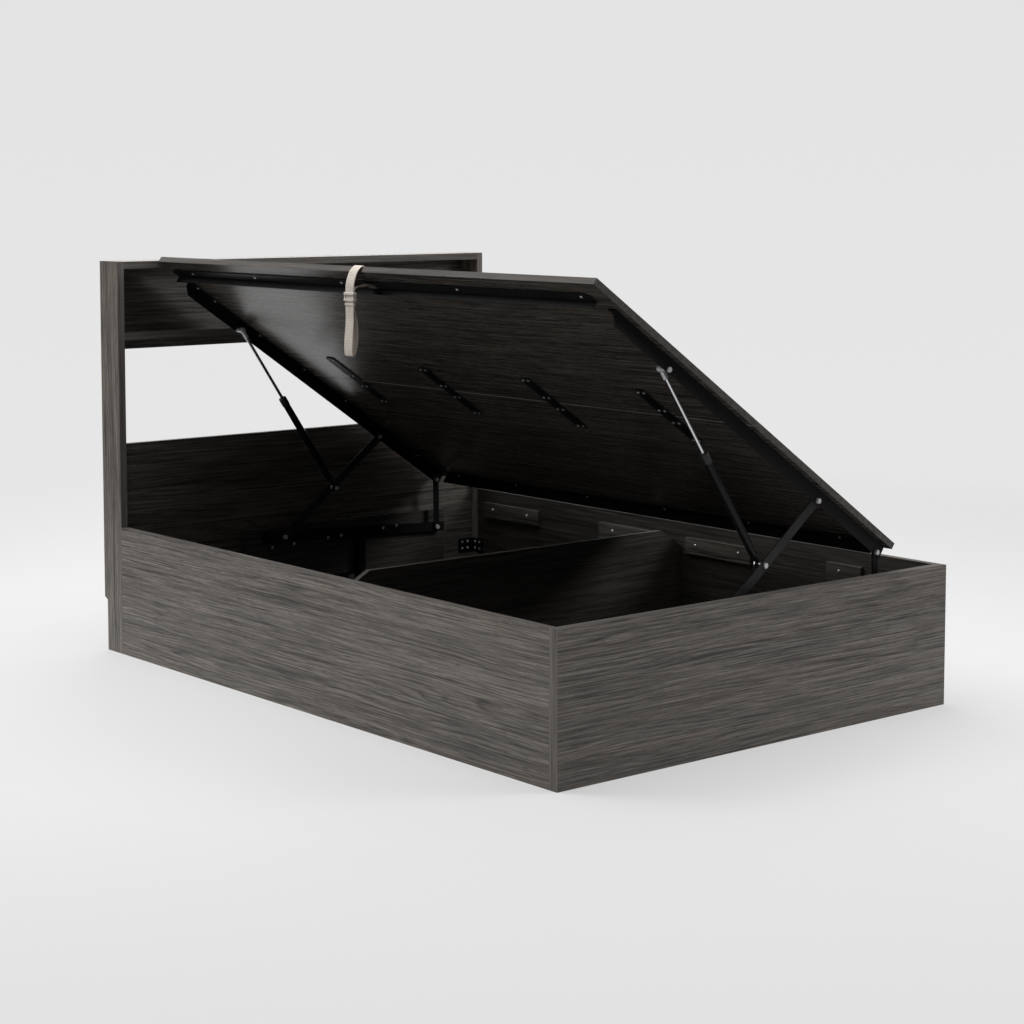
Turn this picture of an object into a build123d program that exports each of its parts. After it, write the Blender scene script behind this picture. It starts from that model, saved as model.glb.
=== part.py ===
from build123d import *
import os
from math import atan2, cos, degrees, hypot, radians, sin

# Gas lift storage bed, opened from its long side. Millimetres.
# X runs across the bed from the opening side to the hinge side, Y from the foot to the headboard, Z up.
# The origin is on the floor under the middle of the whole bed.

# Overall sizes
bed_width = 1420.0
box_length = 2040.0
box_height = 392.0
headboard_depth = 107.0
headboard_height = 1205.0

# Boards of the box
side_panel_thickness = 22.0
foot_panel_thickness = 30.0
partition_thickness = 18.0
lid_thickness = 18.0
floor_board_thickness = 6.0
floor_batten_height = 12.0
floor_batten_width = 40.0
floor_battens_per_bay = 3
board_fit_gap = 0.3

# Partition under the middle of the lid
partition_near_slope_run = 178.0
partition_near_slope_drop = 102.0
partition_far_slope_run = 88.0
partition_far_slope_drop = 56.0

# Ledges, joint blocks and brackets inside the box
ledge_width = 45.0
ledge_height = 30.0
ledge_end_gap = 30.0
strap_slot_length = 90.0
block_height = 50.0
block_thickness = 12.0
block_top_height = 350.0
block_starts = (252.0, 689.0, 1080.0, 1674.0)
block_lengths = (132.0, 280.0, 290.0, 286.0)
bracket_leg = 60.0
bracket_height = 47.0
bracket_base_height = 170.0
bracket_thickness = 2.0

# Headboard
headboard_board_thickness = 22.0
headboard_edge_strip_depth = 32.0
headboard_back_thickness = 18.0
shelf_top_height = 987.0
upper_back_bottom_height = 932.0
lower_panel_height = 645.0
skirting_notch_depth = 17.0
skirting_notch_height = 157.0
skirting_notch_slope = 9.0

# Lid and its place when shut and when open
lid_side_gap = 26.0
lid_end_gap_foot = 4.0
lid_end_gap_head = 3.0
lid_seam = 1.0
lid_open_angle = 34.6
lid_open_shift = 140.7
lid_open_rise = 76.9

# Steel on the underside of the lid, measured along it from its hinge edge
steel = 3.0
rail_flange = 36.0
rail_ledge = 28.0
rail_start = 8.0
rail_edge_gap = 112.0
rail_corner_cut = 22.0
rail_offset = 26.0
rail_pivot_drop = 28.0
free_angle_edge_gap = 43.0
free_angle_width = 38.0
free_angle_lip = 19.0
free_angle_foot_gap = 61.0
free_angle_head_gap = 17.0
free_angle_corner_cut = 14.0
hinge_angle_start = 12.0
hinge_angle_width = 30.0
hinge_angle_lip = 25.0
hinge_angle_end_gap = 4.0
joint_plate_length = 272.0
joint_plate_width = 44.0
joint_plate_corner = 9.0
joint_plate_first = 306.0
joint_plate_pitch = 470.0
joint_plate_count = 4

# Lift linkage
arm_base_height = 309.0
link_base_height = 281.5
arm_top_place = 314.0
link_top_place = 28.0
strut_top_place = 978.0
strut_arm_distance = 235.0
bar_thickness = 4.0
arm_width = 26.0
link_width = 21.0
base_tube_height = 30.0
base_tube_wall = 2.0
base_tube_overhang_near = 62.0
base_tube_overhang_far = 34.0
base_leg_width = 25.0
base_leg_share = 0.5
head_packer_width = 800.0
head_packer_shift = 140.0
head_packer_height = 175.0
head_packer_base = 160.0

# Bolts and their clearances
bolt_diameter = 8.0
bolt_running_gap = 0.05
bolt_head_across = 13.0
bolt_head_height = 5.5
nut_height = 5.0
washer_diameter = 15.0
washer_thickness = 1.2
moving_gap = 0.3

# Gas strut
strut_offset = 27.0
strut_tube_length = 366.0
strut_tube_diameter = 22.0
strut_tube_wall = 1.5
strut_neck_length = 32.0
strut_neck_across = 9.0
strut_gland_length = 16.0
strut_rod_diameter = 10.0
strut_piston_length = 12.0
strut_piston_gap = 0.3
strut_piston_rest_gap = 8.0
strut_eye_diameter = 18.0
strut_eye_width = 10.0
strut_eye_overlap = 1.0
strut_ferrule_length = 30.0
strut_ferrule_across = 13.0
strut_spacer_diameter = 14.0

# Pull strap
strap_width = 38.0
strap_thickness = 2.2
strap_place = 970.0
strap_tab_length = 45.0
strap_hang_gap = 22.0
strap_drop = 230.0
strap_lean = 6.0
strap_sway = 0.5
strap_loop_width = 5.0
strap_bulge = 14.0
strap_lower_tab_gap = 48.0
strap_lower_tab_length = 26.0
strap_lower_tab_lift = 4.0
strap_lower_tab_turn = 5.0
strap_slider_height = 24.0
strap_slider_drop = 67.0
strap_slider_rim = 2.0
strap_soft_rounds = 3

# Places worked out from the sizes above
total_length = box_length + headboard_depth
near_face = -bed_width / 2
far_face = bed_width / 2
foot_face = -total_length / 2
near_inner = near_face + side_panel_thickness
far_inner = far_face - side_panel_thickness
foot_inner = foot_face + foot_panel_thickness
headboard_front = foot_face + box_length
headboard_back = headboard_front + headboard_depth
head_inner = headboard_front + headboard_edge_strip_depth

lid_width = far_inner - near_inner - 2 * lid_side_gap
lid_foot = foot_inner + lid_end_gap_foot
lid_head = headboard_front - lid_end_gap_head
lid_middle = (lid_foot + lid_head) / 2
lid_shut_edge = (far_inner - lid_side_gap, box_height - lid_thickness)
lid_open_edge = (lid_shut_edge[0] - lid_open_shift, lid_shut_edge[1] + lid_open_rise)

rail_plane = foot_inner + rail_offset
rail_back_plane = rail_plane + steel
bar_plane = rail_back_plane + moving_gap
bar_back_plane = bar_plane + bar_thickness
strut_plane = rail_plane + strut_offset
support_height = lid_shut_edge[1] - board_fit_gap
floor_top = floor_batten_height + floor_board_thickness
slope_angle = radians(lid_open_angle)
rail_end = lid_width - rail_edge_gap
free_angle_start = lid_width - free_angle_edge_gap - free_angle_width
strap_lower_tab_place = lid_width - strap_lower_tab_gap


def lid_point(edge, angle, along, drop):
    """Point on the lid's side view: along it from its hinge edge and drop below its underside."""
    x = edge[0] - along * cos(angle) - drop * sin(angle)
    z = edge[1] + along * sin(angle) - drop * cos(angle)
    return (x, z)


def even_place(first, second, height):
    """Point at this height that is as far from the first point as from the second."""
    run = second[0] - first[0]
    rise = second[1] - first[1]
    squares = second[0] ** 2 - first[0] ** 2 + second[1] ** 2 - first[1] ** 2
    return ((squares - 2 * height * rise) / (2 * run), height)


def distance(first, second):
    """Distance between two points of the side view."""
    return hypot(second[0] - first[0], second[1] - first[1])


def bearing(first, second):
    """Angle in degrees of the line between two points of the side view, from +X towards +Z."""
    return degrees(atan2(second[1] - first[1], second[0] - first[0]))


# Pivots of the lift, as points of the side view, with the lid open and with it shut
arm_top_open = lid_point(lid_open_edge, slope_angle, arm_top_place, rail_pivot_drop)
arm_top_shut = lid_point(lid_shut_edge, 0, arm_top_place, rail_pivot_drop)
link_top_open = lid_point(lid_open_edge, slope_angle, link_top_place, rail_pivot_drop)
link_top_shut = lid_point(lid_shut_edge, 0, link_top_place, rail_pivot_drop)
strut_top_open = lid_point(lid_open_edge, slope_angle, strut_top_place, rail_pivot_drop)
strut_top_shut = lid_point(lid_shut_edge, 0, strut_top_place, rail_pivot_drop)
arm_base = even_place(arm_top_open, arm_top_shut, arm_base_height)
link_base = even_place(link_top_open, link_top_shut, link_base_height)
arm_length = distance(arm_base, arm_top_open)
link_length = distance(link_base, link_top_open)
arm_open_angle = bearing(arm_base, arm_top_open)
arm_shut_angle = bearing(arm_base, arm_top_shut)
link_open_angle = bearing(link_base, link_top_open)
link_shut_angle = bearing(link_base, link_top_shut)


def arm_point(angle, along):
    """Point of the side view on the long arm at this angle in degrees, along it from its base."""
    turn = radians(angle)
    return (arm_base[0] + along * cos(turn), arm_base[1] + along * sin(turn))


strut_base_open = arm_point(arm_open_angle, strut_arm_distance)
strut_base_shut = arm_point(arm_shut_angle, strut_arm_distance)
strut_open_length = distance(strut_base_open, strut_top_open)
strut_shut_length = distance(strut_base_shut, strut_top_shut)
strut_open_angle = bearing(strut_base_open, strut_top_open)
strut_shut_angle = bearing(strut_base_shut, strut_top_shut)


def block(x, y, z):
    """Box between two values on each axis, given as pairs."""
    size = (x[1] - x[0], y[1] - y[0], z[1] - z[0])
    return Pos(sum(x) / 2, sum(y) / 2, sum(z) / 2) * Box(*size)


def profile(points, start, end):
    """Solid whose side view is this outline of (x, z) points, between two places along Y."""
    outline = Polyline(*[(x, 0, z) for x, z in points], close=True)
    face = make_face(outline)
    solid = extrude(face, amount=end - start, dir=(0, 1, 0))
    return Pos(0, start, 0) * solid


def rod_along(point, diameter, start, end):
    """Round bar along Y through a point of the side view."""
    bar = Cylinder(diameter / 2, end - start)
    return Pos(point[0], (start + end) / 2, point[1]) * Rot(90, 0, 0) * bar


def hexagon_along(point, across, start, end):
    """Hexagonal head or nut along Y at a point of the side view, with its outer corners eased."""
    head = extrude(RegularPolygon(across / 2, 6, major_radius=False), amount=end - start)
    head = Pos(0, 0, -(end - start) / 2) * head
    return Pos(point[0], (start + end) / 2, point[1]) * Rot(90, 0, 0) * head


def hole_gauge(point, start, end):
    """Cutter of a bolt's running fit along Y."""
    return rod_along(point, bolt_diameter + 2 * bolt_running_gap, start, end)


def at_head(shape):
    """The same piece at the headboard end, mirrored about the middle of the lid."""
    return Pos(0, 2 * lid_middle, 0) * mirror(shape, about=Plane.XZ)


def solids(shapes):
    """One node made of separate solids."""
    found = []
    for shape in shapes:
        found.extend(shape.solids())
    return Compound(children=found)


def on_open_lid(shape):
    """Moves a piece from the lid's own axes, with X back from the hinge edge, to the open lid."""
    return Pos(lid_open_edge[0], 0, lid_open_edge[1]) * Rot(0, lid_open_angle, 0) * shape


# Box


def make_foot_panel():
    """Foot panel, which covers the ends of both side panels."""
    return block((near_face, far_face), (foot_face, foot_inner), (0, box_height))


def make_side_panel(outer, inner):
    """Long side panel between the foot panel and the headboard."""
    sides = (min(outer, inner), max(outer, inner))
    return block(sides, (foot_inner, headboard_front), (0, box_height))


def make_partition():
    """Cross board that carries the middle of the lid, with its upper corners sloped off."""
    near_low = support_height - partition_near_slope_drop
    far_low = support_height - partition_far_slope_drop
    near_x = near_inner + board_fit_gap
    far_x = far_inner - board_fit_gap
    outline = [
        (near_x, 0),
        (far_x, 0),
        (far_x, far_low),
        (far_inner - partition_far_slope_run, support_height),
        (near_inner + partition_near_slope_run, support_height),
        (near_x, near_low),
    ]
    start = lid_middle - partition_thickness / 2
    return profile(outline, start, start + partition_thickness)


def bay_ends():
    """Foot and head bays of the box as pairs of places along Y."""
    half = partition_thickness / 2
    return [
        (foot_inner + board_fit_gap, lid_middle - half - board_fit_gap),
        (lid_middle + half + board_fit_gap, head_inner - board_fit_gap),
    ]


def make_floor_board(bay):
    """Thin board at the bottom of one bay."""
    across = (near_inner + board_fit_gap, far_inner - board_fit_gap)
    return block(across, bay, (floor_batten_height, floor_top))


def make_floor_battens():
    """Battens on the floor that carry the bottom boards."""
    battens = []
    across = (near_inner + board_fit_gap, far_inner - board_fit_gap)
    for bay in bay_ends():
        pitch = (bay[1] - bay[0] - floor_batten_width) / (floor_battens_per_bay - 1)
        for number in range(floor_battens_per_bay):
            start = bay[0] + number * pitch
            battens.append(block(across, (start, start + floor_batten_width), (0, floor_batten_height)))
    return solids(battens)


def make_ledges():
    """Two ledges on the opening side that carry the shut lid, with a gap for the strap."""
    across = (near_inner, near_inner + ledge_width)
    height = (support_height - ledge_height, support_height)
    strap_middle = foot_inner + strap_place
    gap = (strap_middle - strap_slot_length / 2, strap_middle + strap_slot_length / 2)
    foot_part = block(across, (lid_foot + ledge_end_gap, gap[0]), height)
    head_part = block(across, (gap[1], lid_head - ledge_end_gap), height)
    return solids([foot_part, head_part])


def make_side_blocks():
    """Joint blocks on the inner face of the hinge side panel."""
    blocks = []
    for start, length in zip(block_starts, block_lengths):
        place = foot_inner + start
        across = (far_inner - block_thickness, far_inner)
        blocks.append(block(across, (place, place + length), (block_top_height - block_height, block_top_height)))
    return solids(blocks)


def make_corner_bracket(corner_x, corner_y, toward_x, toward_y):
    """Sheet steel angle in one inner corner of the box."""
    height = (bracket_base_height, bracket_base_height + bracket_height)
    outer = block(
        tuple(sorted((corner_x, corner_x + toward_x * bracket_leg))),
        tuple(sorted((corner_y, corner_y + toward_y * bracket_leg))),
        height,
    )
    inner = block(
        tuple(sorted((corner_x + toward_x * bracket_thickness, corner_x + toward_x * 2 * bracket_leg))),
        tuple(sorted((corner_y + toward_y * bracket_thickness, corner_y + toward_y * 2 * bracket_leg))),
        height,
    )
    return outer - inner


def make_corner_brackets():
    """The four corner brackets of the box."""
    return solids(
        [
            make_corner_bracket(near_inner, foot_inner, 1, 1),
            make_corner_bracket(far_inner, foot_inner, -1, 1),
            make_corner_bracket(near_inner, head_inner, 1, -1),
            make_corner_bracket(far_inner, head_inner, -1, -1),
        ]
    )


# Headboard


def make_headboard_side(outer, inner):
    """Headboard end board with its notch for a skirting board at the back."""
    front = headboard_front + headboard_edge_strip_depth
    notch_front = headboard_back - skirting_notch_depth
    outline = [
        (front, 0),
        (notch_front, 0),
        (notch_front, skirting_notch_height),
        (headboard_back, skirting_notch_height + skirting_notch_slope),
        (headboard_back, headboard_height),
        (front, headboard_height),
    ]
    wire = Polyline(*[(0, y, z) for y, z in outline], close=True)
    start = min(outer, inner)
    return Pos(start, 0, 0) * extrude(make_face(wire), amount=abs(outer - inner), dir=(1, 0, 0))


def headboard_side_faces():
    """Outer and inner X of both headboard ends."""
    thickness = headboard_board_thickness
    return [(near_face, near_face + thickness), (far_face - thickness, far_face)]


def make_edge_strips():
    """Upright strips on the front edges of the headboard's end boards."""
    depth = (headboard_front, headboard_front + headboard_edge_strip_depth)
    return solids([block(faces, depth, (0, headboard_height)) for faces in headboard_side_faces()])


def headboard_span():
    """Space between the headboard's end boards."""
    faces = headboard_side_faces()
    return (faces[0][1], faces[1][0])


def make_headboard_top():
    """Top board of the headboard, between its end boards."""
    height = (headboard_height - headboard_board_thickness, headboard_height)
    return block(headboard_span(), (headboard_front, headboard_back), height)


def make_headboard_shelf():
    """Shelf of the headboard, in front of its upper back board."""
    height = (shelf_top_height - headboard_board_thickness, shelf_top_height)
    return block(headboard_span(), (headboard_front, headboard_back - headboard_back_thickness), height)


def make_upper_back():
    """Back board behind the shelf."""
    depth = (headboard_back - headboard_back_thickness, headboard_back)
    return block(headboard_span(), depth, (upper_back_bottom_height, headboard_height - headboard_board_thickness))


def make_lower_panel():
    """Headboard panel that closes the head end of the box."""
    depth = (head_inner, head_inner + headboard_back_thickness)
    return block(headboard_span(), depth, (0, lower_panel_height))


# Lid, in its own axes until it is set open


def make_lid_board(start, end):
    """One of the lid's two boards, between two distances from the hinge edge."""
    return on_open_lid(block((-end, -start), (lid_foot, lid_head), (0, lid_thickness)))


def make_top_rail():
    """Steel angle under the foot end of the lid, with its lower corner cut and its bolt holes."""
    flange_outline = [
        (-rail_start, 0),
        (-rail_end, 0),
        (-rail_end, -(rail_flange - rail_corner_cut)),
        (-(rail_end - rail_corner_cut), -rail_flange),
        (-rail_start, -rail_flange),
    ]
    flange = profile(flange_outline, rail_plane, rail_back_plane)
    ledge = block((-rail_end, -rail_start), (rail_plane, rail_plane + rail_ledge), (-steel, 0))
    rail = flange + ledge
    for place in (arm_top_place, link_top_place, strut_top_place):
        rail -= hole_gauge((-place, -rail_pivot_drop), rail_plane - steel, rail_back_plane + steel)
    return on_open_lid(rail)


def make_free_angle():
    """Steel angle along the free edge of the lid, with its outer corners cut."""
    start = lid_foot + free_angle_foot_gap
    end = lid_head - free_angle_head_gap
    outer = -(free_angle_start + free_angle_width)
    inner = -free_angle_start
    cut = free_angle_corner_cut
    corners = [(inner, start), (inner, end), (outer + cut, end), (outer, end - cut), (outer, start + cut), (outer + cut, start)]
    plate = extrude(make_face(Polyline(*corners, close=True)), amount=-steel)
    lip = block((inner - steel, inner), (start, end), (-steel - free_angle_lip, -steel))
    return on_open_lid(plate + lip)


def make_hinge_angle():
    """Steel angle along the hinge edge of the lid, between the two rails."""
    start = rail_plane + rail_ledge + hinge_angle_end_gap
    end = 2 * lid_middle - start
    outer = -hinge_angle_start
    inner = outer - hinge_angle_width
    plate = block((inner, outer), (start, end), (-steel, 0))
    lip = block((outer - steel, outer), (start, end), (-steel - hinge_angle_lip, -steel))
    return on_open_lid(plate + lip)


def make_joint_plates():
    """Flat plates across the seam of the lid."""
    seam = -lid_width / 2
    plates = []
    for number in range(joint_plate_count):
        middle = lid_foot + joint_plate_first + number * joint_plate_pitch
        plate = Box(joint_plate_length, joint_plate_width, steel)
        plate = chamfer(plate.edges().filter_by(Axis.Z), joint_plate_corner)
        plates.append(on_open_lid(Pos(seam, middle, -steel / 2) * plate))
    return solids(plates)


# Lift linkage at the foot end; the headboard end is its mirror image


def link_bar(length, width, hole_places):
    """Flat bar with round ends between two pivots, along +X from the first, with its bolt holes."""
    bar = SlotCenterToCenter(length, width)
    solid = Pos(length / 2, 0, 0) * extrude(bar, amount=bar_thickness)
    for place in hole_places:
        solid -= Pos(place, 0, bar_thickness / 2) * Cylinder(bolt_diameter / 2 + bolt_running_gap, 2 * bar_thickness)
    return solid


def stand_bar(bar, base, angle, plane):
    """Turns a flat bar upright in the side view, at its base pivot, angle and place along Y."""
    return Pos(base[0], plane + bar_thickness, base[1]) * Rot(0, -angle, 0) * Rot(90, 0, 0) * bar


def make_long_arm():
    """Long arm from the base tube to the rail, which also carries the gas strut."""
    bar = link_bar(arm_length, arm_width, (0, strut_arm_distance, arm_length))
    return stand_bar(bar, arm_base, arm_open_angle, bar_plane)


def make_short_link():
    """Short link from the base tube to the hinge end of the rail."""
    bar = link_bar(link_length, link_width, (0, link_length))
    return stand_bar(bar, link_base, link_open_angle, bar_plane)


def base_tube_axes(shape):
    """Moves a piece from the base tube's own axes, with X along it from the arm's pivot."""
    return Pos(arm_base[0], 0, arm_base[1]) * Rot(0, -bearing(arm_base, link_base), 0) * shape


def base_tube_span():
    """Ends of the base tube, measured along it from the arm's pivot."""
    return (-base_tube_overhang_near, distance(arm_base, link_base) + base_tube_overhang_far)


def make_base_tube():
    """Rectangular base tube on the foot panel, with a bolt hole at each pivot."""
    half = base_tube_height / 2
    wall = base_tube_wall
    span = base_tube_span()
    outer = block(span, (foot_inner, rail_back_plane), (-half, half))
    inner = block(span, (foot_inner + wall, rail_back_plane - wall), (wall - half, half - wall))
    tube = base_tube_axes(outer - inner)
    for pivot in (arm_base, link_base):
        tube -= hole_gauge(pivot, rail_back_plane - 2 * wall, rail_back_plane + wall)
    return tube


def make_base_leg():
    """Leg that stands on the bottom board and carries the base tube."""
    span = base_tube_span()
    middle_x = arm_base[0] + base_leg_share * distance(arm_base, link_base)
    across = (middle_x - base_leg_width / 2, middle_x + base_leg_width / 2)
    wall = base_tube_wall
    depth = (foot_inner, rail_back_plane)
    outer = block(across, depth, (floor_top, arm_base_height))
    hollow = block(
        (across[0] + wall, across[1] - wall),
        (depth[0] + wall, depth[1] - wall),
        (floor_top - wall, arm_base_height + wall),
    )
    half = base_tube_height / 2
    tube_space = base_tube_axes(block(span, (depth[0] - wall, depth[1] + wall), (-half, bed_width)))
    return outer - hollow - tube_space


def make_head_packer():
    """Wooden board between the headboard panel and the base tube at the head end."""
    across = (head_packer_shift - head_packer_width / 2, head_packer_shift + head_packer_width / 2)
    tube_back = 2 * lid_middle - foot_inner
    height = (head_packer_base, head_packer_base + head_packer_height)
    return block(across, (tube_back, head_inner), height)


def washer_along(point, start):
    """Washer on a pivot bolt, from this place along +Y."""
    ring = rod_along(point, washer_diameter, start, start + washer_thickness)
    return ring - hole_gauge(point, start - washer_thickness, start + 2 * washer_thickness)


def make_base_bolts():
    """Bolts of the two base pivots, with their nuts inside the tube."""
    bolts = []
    face = bar_back_plane + moving_gap
    wall_back = rail_back_plane - base_tube_wall
    for pivot in (arm_base, link_base):
        shank = rod_along(pivot, bolt_diameter, wall_back - nut_height, face)
        washer = rod_along(pivot, washer_diameter, face, face + washer_thickness)
        head = hexagon_along(pivot, bolt_head_across, face + washer_thickness, face + washer_thickness + bolt_head_height)
        nut = hexagon_along(pivot, bolt_head_across, wall_back - nut_height, wall_back)
        bolts.append(shank + washer + head + nut)
    return bolts


def bolt_head(point, face):
    """Bolt head whose bearing face lies at this place along Y, with the head towards -Y."""
    return hexagon_along(point, bolt_head_across, face - bolt_head_height, face)


def washered_head(point, face):
    """Washer and bolt head on the outer face of a rail."""
    washer = rod_along(point, washer_diameter, face - washer_thickness, face)
    return washer + bolt_head(point, face - washer_thickness)


def make_arm_top_bolt():
    """Bolt that joins the long arm to the rail, with its nut behind the arm."""
    face = bar_back_plane + moving_gap
    shank = rod_along(arm_top_open, bolt_diameter, rail_plane, face + nut_height)
    nut = hexagon_along(arm_top_open, bolt_head_across, face, face + nut_height)
    return washered_head(arm_top_open, rail_plane) + shank + nut


def make_link_top_bolt():
    """Rail half of the short link's upper pivot: its head and the shank inside the rail."""
    shank = rod_along(link_top_open, bolt_diameter, rail_plane, rail_back_plane)
    return washered_head(link_top_open, rail_plane) + shank


def make_link_top_nut():
    """Link half of the short link's upper pivot: its stub in the link and its nut."""
    shank = rod_along(link_top_open, bolt_diameter, bar_plane, bar_back_plane + nut_height)
    nut = hexagon_along(link_top_open, bolt_head_across, bar_back_plane, bar_back_plane + nut_height)
    return shank + nut


def strut_eye_faces():
    """Outer and inner face of the strut's eyes along Y."""
    return (strut_plane - strut_eye_width / 2, strut_plane + strut_eye_width / 2)


def make_strut_base_stud():
    """Stud on the long arm that carries the lower eye of the strut."""
    eye = strut_eye_faces()
    point = strut_base_open
    shank = rod_along(point, bolt_diameter, bar_plane, eye[1] + moving_gap + nut_height)
    spacer = rod_along(point, strut_spacer_diameter, bar_back_plane, eye[0] - moving_gap)
    nut = hexagon_along(point, bolt_head_across, eye[1] + moving_gap, eye[1] + moving_gap + nut_height)
    return bolt_head(point, bar_plane) + shank + spacer + nut


def make_strut_top_stud():
    """Stud on the rail that meets the upper eye of the strut."""
    eye = strut_eye_faces()
    shank = rod_along(strut_top_open, bolt_diameter, rail_plane, rail_back_plane)
    spacer = rod_along(strut_top_open, strut_spacer_diameter, rail_back_plane, eye[0] - moving_gap)
    return bolt_head(strut_top_open, rail_plane) + shank + spacer


def make_strut_top_nut():
    """Strut half of the upper pivot: its stub in the upper eye and its nut."""
    eye = strut_eye_faces()
    shank = rod_along(strut_top_open, bolt_diameter, eye[0], eye[1] + nut_height)
    nut = hexagon_along(strut_top_open, bolt_head_across, eye[1], eye[1] + nut_height)
    return shank + nut


# Gas strut, built upright from its lower eye and then set between its pivots


def stand_strut(shape):
    """Sets a piece of the upright strut between the arm and the rail."""
    point = strut_base_open
    return Pos(point[0], strut_plane, point[1]) * Rot(0, 90 - strut_open_angle, 0) * shape


def upright(diameter, start, end):
    """Round bar along Z between two heights."""
    return Pos(0, 0, (start + end) / 2) * Cylinder(diameter / 2, end - start)


def eye_at(height):
    """Eye of the strut with its bolt hole, at a height on the strut's axis."""
    ring = Rot(90, 0, 0) * Cylinder(strut_eye_diameter / 2, strut_eye_width)
    hole = Rot(90, 0, 0) * Cylinder(bolt_diameter / 2 + bolt_running_gap, 2 * strut_eye_width)
    return Pos(0, 0, height) * (ring - hole)


def neck_between(across, start, end, eye_height):
    """Six-sided neck that runs up to an eye and is cut clear of its bolt."""
    neck = extrude(RegularPolygon(across / 2, 6, major_radius=False), amount=end - start)
    eye_space = Rot(90, 0, 0) * Cylinder(strut_eye_diameter / 2 - strut_eye_overlap, 2 * across)
    return Pos(0, 0, start) * neck - Pos(0, 0, eye_height) * eye_space


def make_strut_lower_eye():
    """Lower eye of the strut and its neck."""
    neck = neck_between(strut_neck_across, strut_eye_overlap, strut_neck_length, 0)
    return stand_strut(eye_at(0) + neck)


def make_strut_tube():
    """Pressure tube of the strut, with sloped shoulders and a hollow for the piston."""
    wall = strut_tube_wall
    outer = upright(strut_tube_diameter, strut_neck_length, strut_tube_length)
    shoulders = outer.edges().filter_by(GeomType.CIRCLE)
    outer = chamfer(shoulders, wall)
    hollow = upright(strut_tube_diameter - 2 * wall, strut_neck_length + 2 * wall, strut_tube_length - wall)
    rod_way = upright(strut_rod_diameter + 2 * moving_gap, strut_tube_length - 2 * wall, strut_tube_length + wall)
    return stand_strut(outer - hollow - rod_way)


def make_strut_gland():
    """Guide inside the upper end of the tube, in which the rod runs."""
    top = strut_tube_length - strut_tube_wall
    ring = upright(strut_tube_diameter - 2 * strut_tube_wall, top - strut_gland_length, top)
    bore = upright(strut_rod_diameter + 2 * bolt_running_gap, top - 2 * strut_gland_length, top + strut_gland_length)
    return stand_strut(ring - bore)


def piston_top():
    """Height of the piston's upper face on the open strut."""
    return strut_tube_length - strut_tube_wall - strut_gland_length - strut_piston_rest_gap


def make_strut_rod():
    """Bright rod of the strut with its piston."""
    piston_diameter = strut_tube_diameter - 2 * strut_tube_wall - 2 * strut_piston_gap
    rod = upright(strut_rod_diameter, piston_top(), strut_open_length - strut_ferrule_length)
    piston = upright(piston_diameter, piston_top() - strut_piston_length, piston_top())
    return stand_strut(rod + piston)


def make_strut_upper_eye():
    """Upper eye of the strut, screwed on the end of the rod."""
    start = strut_open_length - strut_ferrule_length
    ferrule = neck_between(strut_ferrule_across, start, strut_open_length - strut_eye_overlap, strut_open_length)
    return stand_strut(eye_at(strut_open_length) + ferrule)


# Pull strap


def strap_upper_points():
    """Strap's centre line in the side view, from its tab on the lid's top to its lowest bend."""
    lift = strap_thickness / 2 + board_fit_gap
    corner = lid_point(lid_open_edge, slope_angle, lid_width, 0)
    front = corner[0] - strap_hang_gap
    low = corner[1] - strap_drop
    tab_start = lid_point(lid_open_edge, slope_angle, lid_width - strap_tab_length, -lid_thickness - lift)
    tab_end = lid_point(lid_open_edge, slope_angle, lid_width - 4 * lift, -lid_thickness - lift)
    over_edge = lid_point(lid_open_edge, slope_angle, lid_width + 1.6 * lift, -lid_thickness - 1.6 * lift)
    return [
        tab_start,
        tab_end,
        over_edge,
        (front + 0.63 * strap_hang_gap, corner[1] + 0.25 * lid_thickness),
        (front + 0.2 * strap_hang_gap, corner[1] - 0.9 * strap_hang_gap),
        (front, corner[1] - strap_slider_drop + 1.2 * strap_slider_height),
        (front, corner[1] - strap_slider_drop),
        (front, corner[1] - strap_slider_drop - 1.2 * strap_slider_height),
        (front + strap_sway, corner[1] - 0.6 * strap_drop),
        (front - strap_lean, corner[1] - 0.86 * strap_drop),
        (front - 0.6 * strap_lean, low + strap_loop_width / 2),
    ]


def strap_lower_points():
    """Strap's centre line in the side view, from its lowest bend to its tab under the lid."""
    corner = lid_point(lid_open_edge, slope_angle, lid_width, 0)
    front = corner[0] - strap_hang_gap
    low = corner[1] - strap_drop
    beside = front + strap_thickness + board_fit_gap
    steel_face = steel + strap_thickness / 2 + board_fit_gap
    slider_top = corner[1] - strap_slider_drop + strap_slider_height / 2
    tab_near = lid_point(lid_open_edge, slope_angle, strap_lower_tab_place, steel_face)
    tab_far = lid_point(lid_open_edge, slope_angle, strap_lower_tab_place - strap_lower_tab_length, steel_face)
    return [
        (front - 0.6 * strap_lean + strap_loop_width, low + strap_loop_width / 2),
        (front + 0.6 * strap_bulge, corner[1] - 0.93 * strap_drop),
        (front + strap_bulge, corner[1] - 0.82 * strap_drop),
        (front + strap_bulge, corner[1] - 0.63 * strap_drop),
        (beside + 0.3 * strap_bulge, corner[1] - 0.5 * strap_drop),
        (beside, slider_top - 1.6 * strap_slider_height),
        (beside, slider_top - 0.5 * strap_slider_height),
        (beside, slider_top + 0.6 * strap_slider_height),
        (tab_near[0] - 0.35 * (tab_near[0] - beside), tab_near[1] - 0.45 * (tab_near[1] - slider_top)),
        (tab_near[0] - 0.3 * strap_lower_tab_turn, tab_near[1] - strap_lower_tab_lift),
        (tab_near[0] + strap_lower_tab_turn * cos(slope_angle), tab_near[1] - strap_lower_tab_turn * sin(slope_angle)),
        tab_far,
    ]


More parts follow.
